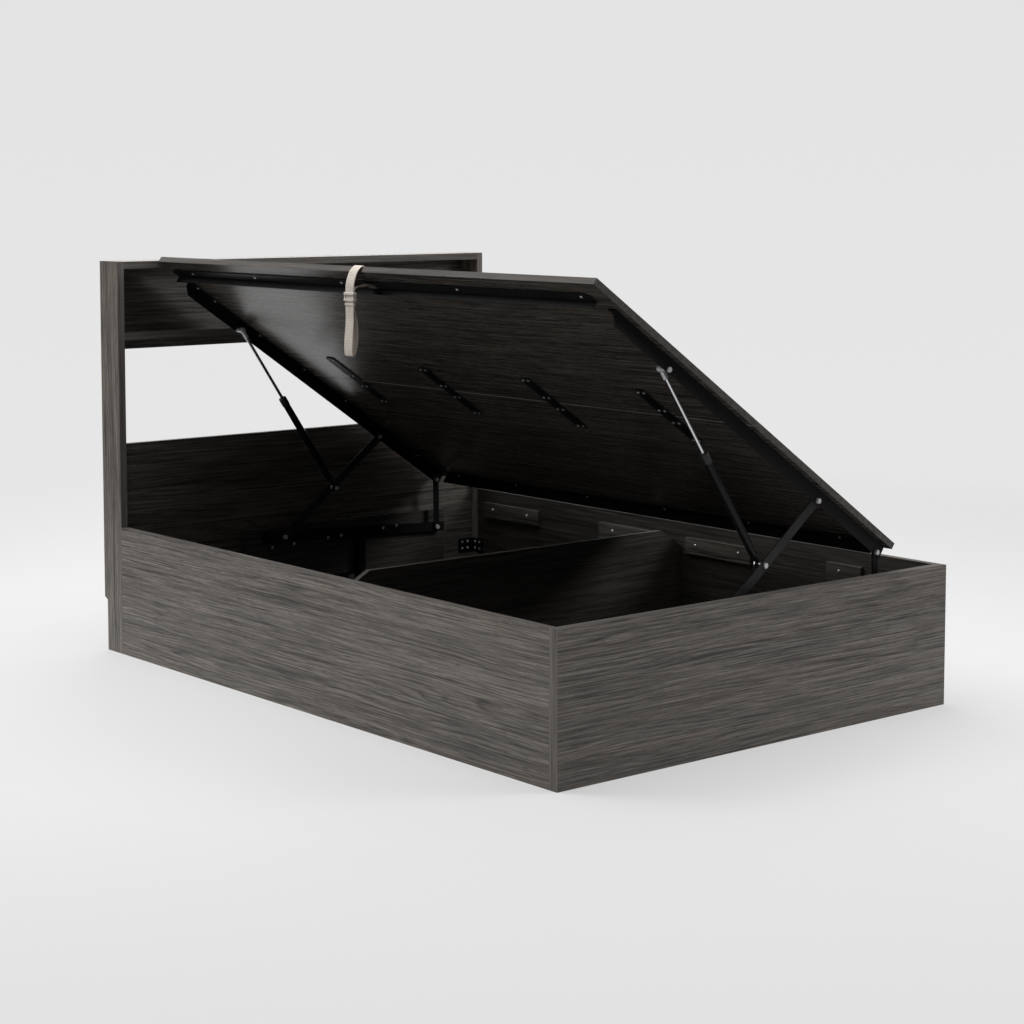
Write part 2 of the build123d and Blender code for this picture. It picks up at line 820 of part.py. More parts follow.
def soften(points):
    """Rounds an open line of side view points by cutting each of its corners."""
    softer = [points[0]]
    for first, second in zip(points, points[1:]):
        for share in (0.25, 0.75):
            softer.append(tuple(a + share * (b - a) for a, b in zip(first, second)))
    return softer[:1] + softer[2:-1] + [points[-1]]


def ribbon(points, thickness, width):
    """Band of even thickness that follows a soft line through the side view."""
    for _ in range(strap_soft_rounds):
        points = soften(points)
    one_side = []
    other_side = []
    for number, (x, z) in enumerate(points):
        before = points[max(number - 1, 0)]
        after = points[min(number + 1, len(points) - 1)]
        reach = distance(before, after)
        across_x = -(after[1] - before[1]) / reach * thickness / 2
        across_z = (after[0] - before[0]) / reach * thickness / 2
        one_side.append((x + across_x, z + across_z))
        other_side.append((x - across_x, z - across_z))
    return profile(one_side + other_side[::-1], -width / 2, width / 2)


def make_strap():
    """Webbing strap that hangs from the lid's free edge in one loop."""
    strap = ribbon(strap_upper_points() + strap_lower_points(), strap_thickness, strap_width)
    return Pos(0, foot_inner + strap_place, 0) * strap


def make_strap_slider():
    """Slider that holds the two layers of the strap together."""
    corner = lid_point(lid_open_edge, slope_angle, lid_width, 0)
    middle_x = corner[0] - strap_hang_gap + (strap_thickness + board_fit_gap) / 2
    middle_z = corner[1] - strap_slider_drop
    layers = 2 * strap_thickness + 5 * board_fit_gap
    rim = strap_slider_rim
    outer = Box(layers + 2 * rim, strap_width + 2 * rim + 2 * board_fit_gap, strap_slider_height)
    inner = Box(layers, strap_width + 2 * board_fit_gap, 2 * strap_slider_height)
    window = Box(2 * layers + 4 * rim, strap_width - 2 * rim, strap_slider_height / 2)
    slider = outer - inner - window
    return Pos(middle_x, foot_inner + strap_place, middle_z) * slider


def build_nodes():
    """Every node of the bed by name."""
    bays = bay_ends()
    seam = lid_width / 2
    nodes = {
        "foot_panel": make_foot_panel(),
        "near_side_panel": make_side_panel(near_face, near_inner),
        "far_side_panel": make_side_panel(far_face, far_inner),
        "partition": make_partition(),
        "floor_board_foot": make_floor_board(bays[0]),
        "floor_board_head": make_floor_board(bays[1]),
        "floor_battens": make_floor_battens(),
        "lid_ledges": make_ledges(),
        "side_blocks": make_side_blocks(),
        "corner_brackets": make_corner_brackets(),
        "headboard_near_side": make_headboard_side(*headboard_side_faces()[0]),
        "headboard_far_side": make_headboard_side(*headboard_side_faces()[1]),
        "headboard_edge_strips": make_edge_strips(),
        "headboard_top": make_headboard_top(),
        "headboard_shelf": make_headboard_shelf(),
        "headboard_upper_back": make_upper_back(),
        "headboard_lower_panel": make_lower_panel(),
        "head_packer": make_head_packer(),
        "lid_hinge_board": make_lid_board(0, seam - lid_seam / 2),
        "lid_free_board": make_lid_board(seam + lid_seam / 2, lid_width),
        "lid_free_angle": make_free_angle(),
        "lid_hinge_angle": make_hinge_angle(),
        "lid_joint_plates": make_joint_plates(),
        "strap": make_strap(),
        "strap_slider": make_strap_slider(),
    }
    single_pieces = {
        "top_rail": make_top_rail(),
        "base_tube": make_base_tube(),
        "base_leg": make_base_leg(),
        "long_arm": make_long_arm(),
        "short_link": make_short_link(),
        "strut_tube": make_strut_tube(),
        "strut_gland": make_strut_gland(),
        "strut_lower_eye": make_strut_lower_eye(),
        "strut_rod": make_strut_rod(),
        "strut_upper_eye": make_strut_upper_eye(),
    }
    for name, piece in single_pieces.items():
        nodes[name + "_foot"] = piece
        nodes[name + "_head"] = at_head(piece)
    paired_pieces = {
        "base_bolts": make_base_bolts(),
        "link_top_bolts": [make_link_top_bolt()],
        "arm_top_bolts": [make_arm_top_bolt()],
        "link_top_nuts": [make_link_top_nut()],
        "strut_base_studs": [make_strut_base_stud()],
        "strut_top_studs": [make_strut_top_stud()],
        "strut_top_nuts": [make_strut_top_nut()],
    }
    for name, pieces in paired_pieces.items():
        nodes[name] = solids(pieces + [at_head(piece) for piece in pieces])
    return nodes


def print_motion():
    """Prints the pivots, the angles of travel and the strut's stroke."""
    for name, point in (
        ("arm_base", arm_base),
        ("link_base", link_base),
        ("arm_top", arm_top_open),
        ("link_top", link_top_open),
        ("strut_base", strut_base_open),
        ("strut_top", strut_top_open),
    ):
        print(f"{name}: x {point[0]:.3f}, z {point[1]:.3f}")
    print(f"short link turns {link_open_angle - link_shut_angle:.4f} degrees")
    print(f"long arm turns {arm_open_angle - arm_shut_angle:.4f} degrees")
    print(f"strut turns {strut_shut_angle - strut_open_angle:.4f} degrees the other way")
    print(f"strut is {strut_open_length:.3f} long open and {strut_shut_length:.3f} shut")


if __name__ == "__main__":
    os.makedirs("parts", exist_ok=True)
    for node_name, shape in build_nodes().items():
        export_step(shape, f"parts/{node_name}.step")
    print_motion()
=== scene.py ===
"""Looks of a gas lift storage bed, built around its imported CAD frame.

All places are in metres in the bed's own frame: X from the opening side to the hinge side, Y from the foot
to the headboard, Z up, with the origin on the floor under the middle of the bed.
"""

import logging
import math
import random
from dataclasses import dataclass, field
from enum import Enum
from functools import cache

import bmesh
import bpy
from bpy.types import NodeSocket as Socket
from mathutils import Matrix, Vector

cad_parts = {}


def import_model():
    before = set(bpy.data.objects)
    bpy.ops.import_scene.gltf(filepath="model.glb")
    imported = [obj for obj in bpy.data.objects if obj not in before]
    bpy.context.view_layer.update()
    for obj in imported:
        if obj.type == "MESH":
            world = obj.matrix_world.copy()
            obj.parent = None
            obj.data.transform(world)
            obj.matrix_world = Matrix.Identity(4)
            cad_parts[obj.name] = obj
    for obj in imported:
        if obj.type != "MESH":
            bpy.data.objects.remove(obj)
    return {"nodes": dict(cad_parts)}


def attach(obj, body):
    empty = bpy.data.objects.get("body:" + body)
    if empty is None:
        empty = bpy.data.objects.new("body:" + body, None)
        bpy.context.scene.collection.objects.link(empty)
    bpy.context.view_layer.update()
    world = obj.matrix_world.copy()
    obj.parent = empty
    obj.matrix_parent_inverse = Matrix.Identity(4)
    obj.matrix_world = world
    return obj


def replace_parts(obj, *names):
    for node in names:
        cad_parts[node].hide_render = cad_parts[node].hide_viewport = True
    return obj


LOG = logging.getLogger("bed")
LID_TILT = math.radians(34.6)
LID_EDGE = Vector((0.5213, 0.0, 0.4509))
LID_FOOT_END = -1.0395
LID_HEAD_END = 0.9635
LID_MIDDLE = (LID_FOOT_END + LID_HEAD_END) / 2
LID_WIDTH = 1.324
LID_STEEL = 0.003
RAIL_PLANE = -1.0175
FOOT_FACE = -1.0735
FACE_COSINE = 0.7
END_COSINE = 0.3


class Grain(Enum):
    """Direction in which the printed wood grain of a board runs."""

    ACROSS_BED = "x"
    ALONG_BED = "y"
    UPRIGHT = "z"
    ALONG_LID = "lid"

    def turn(self) -> tuple:
        """Returns the turn that brings the grain onto the X axis."""
        if self is Grain.UPRIGHT:
            return (0.0, math.pi / 2, 0.0)
        return (0.0, 0.0, 0.0 if self is Grain.ACROSS_BED else -math.pi / 2)


class Side(Enum):
    """End of the bed that a piece of the lift belongs to."""

    FOOT = "foot"
    HEAD = "head"


def lid_point(along: float, drop: float, y: float) -> Vector:
    """Finds a point on the open lid.

    Args:
        along: Distance up the lid's underside from its hinge edge.
        drop: Distance below the underside, square to it.
        y: Place along the bed.

    Returns:
        The point in the bed's frame.
    """
    x = LID_EDGE.x - along * math.cos(LID_TILT) - drop * math.sin(LID_TILT)
    z = LID_EDGE.z + along * math.sin(LID_TILT) - drop * math.cos(LID_TILT)
    return Vector((x, y, z))


def lid_down() -> Vector:
    """Returns the outward direction of the lid's underside."""
    return Vector((-math.sin(LID_TILT), 0.0, -math.cos(LID_TILT)))


def mirrored(y: float) -> float:
    """Returns the place at the headboard end that matches one at the foot end."""
    return 2 * LID_MIDDLE - y


def toned(tone: tuple, share: float) -> tuple:
    """Returns a tone made darker or lighter by a share."""
    return tuple(part * share for part in tone)


def ring_faces(start: int, rings: int, count: int, closed: bool = False) -> list:
    """Lists the faces between neighbouring rings of points.

    Args:
        start: Number of the first ring's first point.
        rings: Number of rings.
        count: Number of points in a ring.
        closed: Whether the last ring joins the first.

    Returns:
        Faces as tuples of point numbers.
    """
    faces = []
    for ring in range(rings if closed else rings - 1):
        low, high = start + ring * count, start + (ring + 1) % rings * count
        for k in range(count):
            after = (k + 1) % count
            faces.append((low + k, low + after, high + after, high + k))
    return faces


class Shader:
    """Short calls for building one material's node tree."""

    def __init__(self, name: str) -> None:
        """Starts a material that has one principled shader.

        Args:
            name: Name of the material.
        """
        self.material = bpy.data.materials.new(name)
        self.material.use_nodes = True
        self.tree = self.material.node_tree
        self.base = self.tree.nodes["Principled BSDF"]

    def set(self, **values: object) -> None:
        """Sets constant inputs of the principled shader.

        Args:
            values: Socket names, with underscores for spaces, and their values.
        """
        for name, value in values.items():
            self.base.inputs[name.replace("_", " ")].default_value = value

    def node(self, kind: str, **settings: object) -> bpy.types.Node:
        """Adds a node and sets its properties.

        Args:
            kind: Node type without its ShaderNode prefix.
            settings: Properties of the node.

        Returns:
            The new node.
        """
        made = self.tree.nodes.new("ShaderNode" + kind)
        for name, value in settings.items():
            setattr(made, name, value)
        return made

    def link(self, source: Socket, target: Socket) -> None:
        """Joins an output socket to an input socket."""
        self.tree.links.new(source, target)

    def feed(self, target: Socket, value: object) -> None:
        """Sets an input from a number or colour, or joins a socket to it.

        Args:
            target: Input socket.
            value: Number, colour or output socket.
        """
        if isinstance(value, tuple):
            target.default_value = (*value, 1.0)
        elif isinstance(value, (int, float)):
            target.default_value = value
        else:
            self.link(value, target)

    def place(self, scale: tuple, shift: tuple = (0, 0, 0), turn: tuple = (0, 0, 0), first: Socket = None) -> Socket:
        """Adds object coordinates that are turned, moved and scaled.

        Args:
            scale: Scale on each axis.
            shift: Move on each axis.
            turn: Turn about each axis, in radians.
            first: Socket to use in place of the object coordinates.

        Returns:
            The vector socket.
        """
        mapping = self.node("Mapping")
        mapping.inputs["Scale"].default_value = scale
        mapping.inputs["Location"].default_value = shift
        mapping.inputs["Rotation"].default_value = turn
        self.link(first or self.node("TexCoord").outputs["Object"], mapping.inputs["Vector"])
        return mapping.outputs["Vector"]

    def noise(self, vector: Socket, scale: float, detail: float, rough: float = 0.5, warp: float = 0.0) -> Socket:
        """Adds a noise texture.

        Args:
            vector: Coordinates.
            scale: Scale of the noise.
            detail: Number of octaves.
            rough: Strength of the finer octaves.
            warp: Distortion.

        Returns:
            The noise value, from 0 to 1.
        """
        made = self.node("TexNoise")
        for name, value in (("Scale", scale), ("Detail", detail), ("Roughness", rough), ("Distortion", warp)):
            made.inputs[name].default_value = value
        self.link(vector, made.inputs["Vector"])
        return made.outputs["Fac"]

    def speckle(self, scale: float, detail: float, rough: float = 0.5) -> Socket:
        """Adds noise that is even in every direction."""
        return self.noise(self.place((1, 1, 1)), scale, detail, rough)

    def streaks(
        self,
        along: Socket,
        scale: tuple,
        detail: float,
        rough: float = 0.5,
        shift: tuple = (0, 0, 0),
        warp: float = 0.0,
    ) -> Socket:
        """Adds noise that is drawn out along the grain.

        Args:
            along: Coordinates with X along the grain.
            scale: Scale along the grain and across it.
            detail: Number of octaves.
            rough: Strength of the finer octaves.
            shift: Move on each axis.
            warp: Distortion.

        Returns:
            The noise value, from 0 to 1.
        """
        placed = self.place((scale[0], scale[1], scale[1]), shift, first=along)
        return self.noise(placed, 1.0, detail, rough, warp)

    def maths(self, operation: str, first: object, second: object = 0.0, clamp: bool = False) -> Socket:
        """Adds a math node.

        Args:
            operation: Blender's name of the operation.
            first: Socket or number.
            second: Socket or number.
            clamp: Whether the result stays from 0 to 1.

        Returns:
            The result.
        """
        made = self.node("Math", operation=operation, use_clamp=clamp)
        for socket, value in zip(made.inputs, (first, second)):
            self.feed(socket, value)
        return made.outputs["Value"]

    def weighted(self, *parts: tuple, clamp: bool = False) -> Socket:
        """Adds up values by their shares.

        Args:
            parts: Pairs of a socket and its share.
            clamp: Whether the sum stays from 0 to 1.

        Returns:
            The sum.
        """
        total, *rest = [self.maths("MULTIPLY", value, share) for value, share in parts]
        for number, part in enumerate(rest, 1):
            total = self.maths("ADD", total, part, clamp and number == len(rest))
        return total

    def ramp(self, value: Socket, stops: tuple) -> Socket:
        """Adds a colour ramp.

        Args:
            value: Value from 0 to 1.
            stops: Pairs of a place and its linear colour, or a grey value.

        Returns:
            The colour.
        """
        made = self.node("ValToRGB")
        band = made.color_ramp
        while len(band.elements) < len(stops):
            band.elements.new(0.5)
        for element, (place, tone) in zip(band.elements, stops):
            element.position = place
            rgb = (tone,) * 3 if isinstance(tone, (int, float)) else tone
            element.color = (*rgb, 1.0)
        self.link(value, made.inputs["Fac"])
        return made.outputs["Color"]

    def mix(self, amount: object, first: object, second: object, mode: str = "MIX") -> Socket:
        """Mixes two colours.

        Args:
            amount: Socket or number from 0 to 1.
            first: Colour or socket.
            second: Colour or socket.
            mode: Blend mode.

        Returns:
            The mixed colour.
        """
        made = self.node("Mix", data_type="RGBA", blend_type=mode)
        colours = [s for s in made.inputs if s.type == "RGBA"]
        for socket, value in zip((made.inputs["Factor"], *colours), (amount, first, second)):
            self.feed(socket, value)
        return [s for s in made.outputs if s.type == "RGBA"][0]

    def bump(self, height: Socket, strength: float, depth: float) -> None:
        """Gives the surface a bump.

        Args:
            height: Height from 0 to 1.
            strength: Strength of the bump.
            depth: Real height in metres.
        """
        made = self.node("Bump")
        made.inputs["Strength"].default_value = strength
        made.inputs["Distance"].default_value = depth
        self.link(height, made.inputs["Height"])
        if self.base.inputs["Normal"].is_linked:
            self.link(self.base.inputs["Normal"].links[0].from_socket, made.inputs["Normal"])
        self.link(made.outputs["Normal"], self.base.inputs["Normal"])

    def finish(self, colour: object = None, rough: object = None) -> bpy.types.Material:
        """Joins the colour and roughness.

        Args:
            colour: Colour socket, or None to keep the constant.
            rough: Roughness socket, or None to keep the constant.

        Returns:
            The material.
        """
        if colour is not None:
            self.link(colour, self.base.inputs["Base Color"])
        if rough is not None:
            self.link(rough, self.base.inputs["Roughness"])
        return self.material


@dataclass(frozen=True)
class WoodLaminate:
    """Printed and embossed wood grain on board, in dark grey-brown."""

    grain: Grain
    seed: float = 0.0
    # Scales the tone, which makes lighter and darker copies of one laminate for painted light and painted shade.
    depth: float = 1.0
    grey: tuple = (0.093, 0.088, 0.080)
    brown: tuple = (0.112, 0.094, 0.080)
    roughness: float = 0.42
    emboss: float = 0.35
    loop_length: float = 0.75
    loop_width: float = 0.060
    ring_share: float = 8.0
    ring_count: float = 88.0

    def lay(self, shader: "Shader") -> Socket:
        """Lays coordinates on the board, with X along its grain.

        Args:
            shader: Material that is being built.

        Returns:
            The coordinates.
        """
        coords = shader.node("TexCoord").outputs["Object"]
        if self.grain is Grain.ALONG_LID:
            coords = shader.place((1, 1, 1), turn=(0.0, -LID_TILT, 0.0), first=coords)
        shift = (self.seed * 3.71, self.seed * 1.93, self.seed * 2.37)
        return shader.place((1, 1, 1), shift, self.grain.turn(), coords)

    def rings(self, shader: "Shader", along: Socket) -> Socket:
        """Draws the long pointed loops of a plain-sawn board.

        Args:
            shader: Material that is being built.
            along: Coordinates with X along the grain.

        Returns:
            Tone of the ring lines, from 0 on a line to 1 between lines.
        """
        figure = shader.streaks(along, (1 / self.loop_length, 1 / self.loop_width), 2.0, 0.35, warp=0.15)
        waver = shader.streaks(along, (5.0, 70.0), 2.0)
        split = shader.node("SeparateXYZ")
        shader.link(along, split.inputs["Vector"])
        across = shader.maths("ADD", split.outputs["Y"], split.outputs["Z"])
        phase = shader.weighted((across, self.ring_count), (figure, self.ring_share), (waver, 0.30))
        line = shader.maths("FRACT", phase)
        return shader.ramp(line, ((0.0, 0.0), (0.14, 0.55), (0.45, 0.85), (0.80, 1.0), (1.0, 0.0)))

    def build(self) -> bpy.types.Material:
        """Builds the material.

        Returns:
            The material.
        """
        shader = Shader(f"laminate_{self.grain.value}_{self.seed:g}_{self.depth:g}")
        along = self.lay(shader)
        vein = self.rings(shader, along)
        fibre = shader.streaks(along, (7.0, 300.0), 4.0, 0.7)
        thread = shader.streaks(along, (2.8, 180.0), 2.0, 0.5, (3.0, 1.0, 6.0))
        streak = shader.streaks(along, (1.7, 84.0), 3.0, 0.6)
        pore = shader.streaks(along, (26.0, 420.0), 2.0, 0.6)
        broad = shader.streaks(along, (0.9, 13.0), 2.0, 0.5, (4.0, 2.0, 1.0))
        warm = shader.streaks(along, (1.6, 58.0), 3.0, 0.6, (7.0, 5.0, 3.0))
        patch = shader.streaks(along, (1.4, 9.0), 2.0, 0.5, (1.0, 8.0, 5.0))
        gate = shader.ramp(patch, ((0.38, 0.25), (0.62, 1.0)))
        drawn = shader.maths("MULTIPLY", shader.maths("SUBTRACT", vein, 0.7), gate)
        shares = ((fibre, 2.1), (thread, 1.15), (streak, 0.80), (broad, 0.45))
        lines = ((shader.maths("SUBTRACT", part, 0.5), share) for part, share in shares)
        tone = shader.maths("ADD", shader.weighted((drawn, 0.44), *lines), 0.5, clamp=True)
        warmth = shader.ramp(warm, ((0.30, 0.1), (0.70, 0.9)))
        middle = shader.mix(warmth, toned(self.grey, self.depth), toned(self.brown, self.depth))
        shade = shader.ramp(tone, ((0.06, 0.25), (0.50, 0.98), (0.94, 1.95)))
        dots = shader.ramp(pore, ((0.32, 0.55), (0.44, 1.0)))
        colour = shader.mix(1.0, shader.mix(1.0, middle, shade, "MULTIPLY"), dots, "MULTIPLY")
        rough = shader.maths("ADD", shader.maths("MULTIPLY", fibre, 0.10), self.roughness - 0.05)
        shader.bump(shader.maths("ADD", fibre, shader.maths("MULTIPLY", vein, 0.4)), self.emboss, 0.00025)
        shader.set(Specular_IOR_Level=0.45)
        return shader.finish(colour, rough)


@dataclass(frozen=True)
class EdgeBand:
    """Thin edging on the cut edges of a board, plainer than its faces."""

    grain: Grain
    tone: tuple = (0.082, 0.073, 0.067)
    roughness: float = 0.60

    def build(self) -> bpy.types.Material:
        """Builds the material.

        Returns:
            The material.
        """
        shader = Shader(f"edge_band_{self.grain.value}_{self.tone[0]:g}")
        along = shader.place((1, 1, 1), (0.3, 0.7, 0.1), self.grain.turn())
        fibre = shader.streaks(along, (6.0, 260.0), 4.0, 0.65)
        broad = shader.streaks(along, (1.5, 60.0), 2.0)
        tone = shader.weighted((fibre, 0.6), (broad, 0.4))
        colour = shader.ramp(tone, ((0.32, toned(self.tone, 0.45)), (0.50, self.tone), (0.68, toned(self.tone, 1.55))))
        shader.bump(fibre, 0.2, 0.0002)
        shader.set(Roughness=self.roughness, Specular_IOR_Level=0.15)
        return shader.finish(colour)


@dataclass(frozen=True)
class PowderCoat:
    """Black powder coat on steel, with its fine orange peel."""

    name: str = "powder_coat"
    tone: tuple = (0.0035, 0.0035, 0.0038)
    roughness: float = 0.42
    peel: float = 0.12

    def build(self) -> bpy.types.Material:
        """Builds the material.

        Returns:
            The material.
        """
        shader = Shader(self.name)
        peel = shader.speckle(900.0, 2.0)
        cloud = shader.speckle(14.0, 3.0)
        colour = shader.ramp(cloud, ((0.35, self.tone), (0.75, toned(self.tone, 1.5))))
        rough = shader.maths("ADD", shader.maths("MULTIPLY", cloud, 0.12), self.roughness - 0.06)
        shader.bump(peel, self.peel, 0.0002)
        shader.set(Specular_IOR_Level=0.17)
        return shader.finish(colour, rough)


@dataclass(frozen=True)
class BrightSteel:
    """Plated steel: dull zinc on fasteners, or polished chrome on a rod."""

    name: str
    tone: tuple
    roughness: float
    scratch: float
    metal: float = 1.0

    def build(self) -> bpy.types.Material:
        """Builds the material.

        Returns:
            The material.
        """
        shader = Shader(self.name)
        cloud = shader.speckle(160.0, 4.0, 0.6)
        colour = shader.ramp(cloud, ((0.30, toned(self.tone, 0.80)), (0.70, self.tone)))
        rough = shader.maths("ADD", shader.maths("MULTIPLY", cloud, self.scratch), self.roughness)
        shader.bump(cloud, 0.06, 0.0002)
        shader.set(Metallic=self.metal)
        return shader.finish(colour, rough)


@dataclass(frozen=True)
class MouldedPlastic:
    """Moulded plastic with a fine spark texture."""

    name: str
    tone: tuple
    roughness: float = 0.45

    def build(self) -> bpy.types.Material:
        """Builds the material.

        Returns:
            The material.
        """
        shader = Shader(self.name)
        spark = shader.speckle(1500.0, 2.0)
        cloud = shader.speckle(60.0, 2.0)
        colour = shader.ramp(cloud, ((0.3, toned(self.tone, 0.85)), (0.7, self.tone)))
        shader.bump(spark, 0.15, 0.0002)
        shader.set(Roughness=self.roughness)
        return shader.finish(colour)


@dataclass(frozen=True)
class Webbing:
    """Woven polyester webbing: ribs across the strap and fine picks along it, and a dark brown far end that is painted
    shade.
    """

    tone: tuple = (0.760, 0.690, 0.610)
    shade: tuple = (0.440, 0.375, 0.315)
    # Dark brown painted on the far end of the strap as painted shade, with where it starts and how fast it fades in.
    painted_shade_tone: tuple = (0.110, 0.078, 0.060)
    painted_shade_start: float = 0.0
    painted_shade_fade: float = 0.012
    rib_pitch: float = 0.0042
    pick_pitch: float = 0.0021

    def build(self) -> bpy.types.Material:
        """Builds the material, which reads the strap's own map of its length and width in metres.

        Returns:
            The material.
        """
        shader = Shader("strap_webbing")
        run = shader.node("UVMap", uv_map="strap_run").outputs["UV"]
        split = shader.node("SeparateXYZ")
        shader.link(run, split.inputs["Vector"])
        ribs, picks = (
            shader.maths("SINE", shader.maths("MULTIPLY", split.outputs[axis], math.tau / pitch))
            for axis, pitch in (("X", self.rib_pitch), ("Y", self.pick_pitch))
        )
        crossed = shader.weighted((ribs, 0.30), (shader.maths("MULTIPLY", ribs, picks), 0.16))
        weave = shader.maths("ADD", crossed, 0.5, clamp=True)
        fuzz = shader.noise(run, 900.0, 4.0, 0.7)
        cloud = shader.noise(run, 40.0, 3.0)
        height = shader.maths("ADD", weave, shader.maths("MULTIPLY", fuzz, 0.35))
        tone = shader.weighted((weave, 0.55), (cloud, 0.45), clamp=True)
        colour = shader.ramp(tone, ((0.15, self.shade), (0.62, self.tone), (0.95, toned(self.tone, 1.15))))
        # From painted_shade_start on, the strap is painted dark brown: painted shade where its back run rises under
        # the lid to the tab.
        turned = shader.node("MapRange")
        turned.inputs["From Min"].default_value = self.painted_shade_start
        turned.inputs["From Max"].default_value = self.painted_shade_start + self.painted_shade_fade
        shader.link(split.outputs["X"], turned.inputs["Value"])
        painted_shade_colour = shader.ramp(tone, ((0.15, toned(self.painted_shade_tone, 0.6)), (0.85, self.painted_shade_tone)))
        colour = shader.mix(turned.outputs["Result"], colour, painted_shade_colour)
        shader.bump(height, 0.6, 0.0005)
        shader.set(Roughness=0.85, Sheen_Weight=0.25, Sheen_Roughness=0.5, Specular_IOR_Level=0.3)
        return shader.finish(colour)


@cache
def material_of(finish: object) -> bpy.types.Material:
    """Builds a finish's material once and returns the same one each time."""
    return finish.build()


COAT = PowderCoat()
ZINC = BrightSteel("zinc_plate", (0.80, 0.80, 0.82), 0.28, 0.16, 0.60)
CHROME = BrightSteel("rod_chrome", (0.78, 0.79, 0.80), 0.10, 0.06)
ARM_COAT = PowderCoat("arm_coat", (0.022, 0.022, 0.023), 0.34, 0.08)
STRUT_PAINT = PowderCoat("strut_paint", (0.0080, 0.0080, 0.0085), 0.26, 0.04)
BLACK_NYLON = MouldedPlastic("black_nylon", (0.012, 0.012, 0.012))
SLIDER_PLASTIC = MouldedPlastic("slider_plastic", (0.78, 0.72, 0.65), 0.42)
LID_EDGE_GRAIN = EdgeBand(Grain.ALONG_BED, (0.088, 0.080, 0.073))
SEAM_LINE = EdgeBand(Grain.ALONG_LID, (0.520, 0.500, 0.480))
PANEL_EDGE = EdgeBand(Grain.ALONG_BED, (0.110, 0.100, 0.092))
FOOT_EDGE = EdgeBand(Grain.ACROSS_BED, (0.110, 0.100, 0.092))
# Darker than the panel edging, as painted shade inside the box.
PARTITION_EDGE = EdgeBand(Grain.ACROSS_BED, (0.050, 0.045, 0.041))
PANEL_END = EdgeBand(Grain.UPRIGHT, (0.230, 0.212, 0.196))
THREAD = MouldedPlastic("strap_thread", (0.80, 0.75, 0.68), 0.7)


def dress(
    name: str,
    finish: object,
    edges: object = None,
    normal: tuple = (0, 0, 1),
    ease: float = 0.0006,
    inner: object = None,
    ends: object = None,
) -> None:
    """Gives a CAD node its finish, its edge band and eased edges.

    Args:
        name: CAD node.
        finish: Finish of the whole node or of a board's two faces.
        edges: Finish of a board's cut edges, or None for the same finish.
        normal: Direction square to a board's faces, outward where it has an inner finish.
        ease: Width of the eased edges in metres, or 0 for none.
        inner: Finish of a board's inward face, or None for the same on both.
        ends: Finish of its upright ends, or None for the edge finish.
    """
    node, square = NODES[name], Vector(normal).normalized()
    node.data.materials.clear()
    for layer, covers in (
        (finish, lambda way: True),
        (edges, lambda way: abs(way.dot(square)) <= FACE_COSINE),
        (inner, lambda way: way.dot(square) < -FACE_COSINE),
        (ends, lambda way: abs(way.z) < END_COSINE and abs(way.dot(square)) < END_COSINE),
    ):
        if layer is None:
            continue
        node.data.materials.append(material_of(layer))
        for polygon in node.data.polygons:
            if covers(polygon.normal):
                polygon.material_index = len(node.data.materials) - 1
    if ease > 0:
        bevel = node.modifiers.new("eased_edges", "BEVEL")
        bevel.width = ease
        bevel.segments = 2
        bevel.limit_method = "ANGLE"
        bevel.angle_limit = math.radians(40)
        bevel.harden_normals = True
    for polygon in node.data.polygons:
        polygon.use_smooth = ease > 0 or edges is None
    LOG.info("node %s dressed", name)


def mesh_piece(
    name: str, verts: list, faces: list, body: str, finish: object, smooth: bool = True
) -> bpy.types.Object:
    """Makes a piece from its points and faces and lets it ride on a body.

    Args:
        name: Name of the piece.
        verts: Points in the bed's frame.
        faces: Faces as tuples of point numbers.
        body: CAD body that it rides on.
        finish: Finish of the piece.
        smooth: Whether its faces are shaded smooth.

    Returns:
        The new object.
    """
    mesh = bpy.data.meshes.new(name)
    mesh.from_pydata([tuple(v) for v in verts], [], faces)
    mesh.materials.append(material_of(finish))
    mesh.update()
    for polygon in mesh.polygons:
        polygon.use_smooth = smooth
    piece = bpy.data.objects.new(name, mesh)
    bpy.context.scene.collection.objects.link(piece)
    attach(piece, body)
    LOG.info("piece %s on %s", name, body)
    return piece


def facing(normal: Vector, spin: float = 0.0) -> Matrix:
    """Returns the turn that brings Z onto a direction, after a spin about Z."""
    turn = Vector((0, 0, 1)).rotation_difference(normal.normalized()).to_matrix().to_4x4()
    return turn @ Matrix.Rotation(spin, 4, "Z")


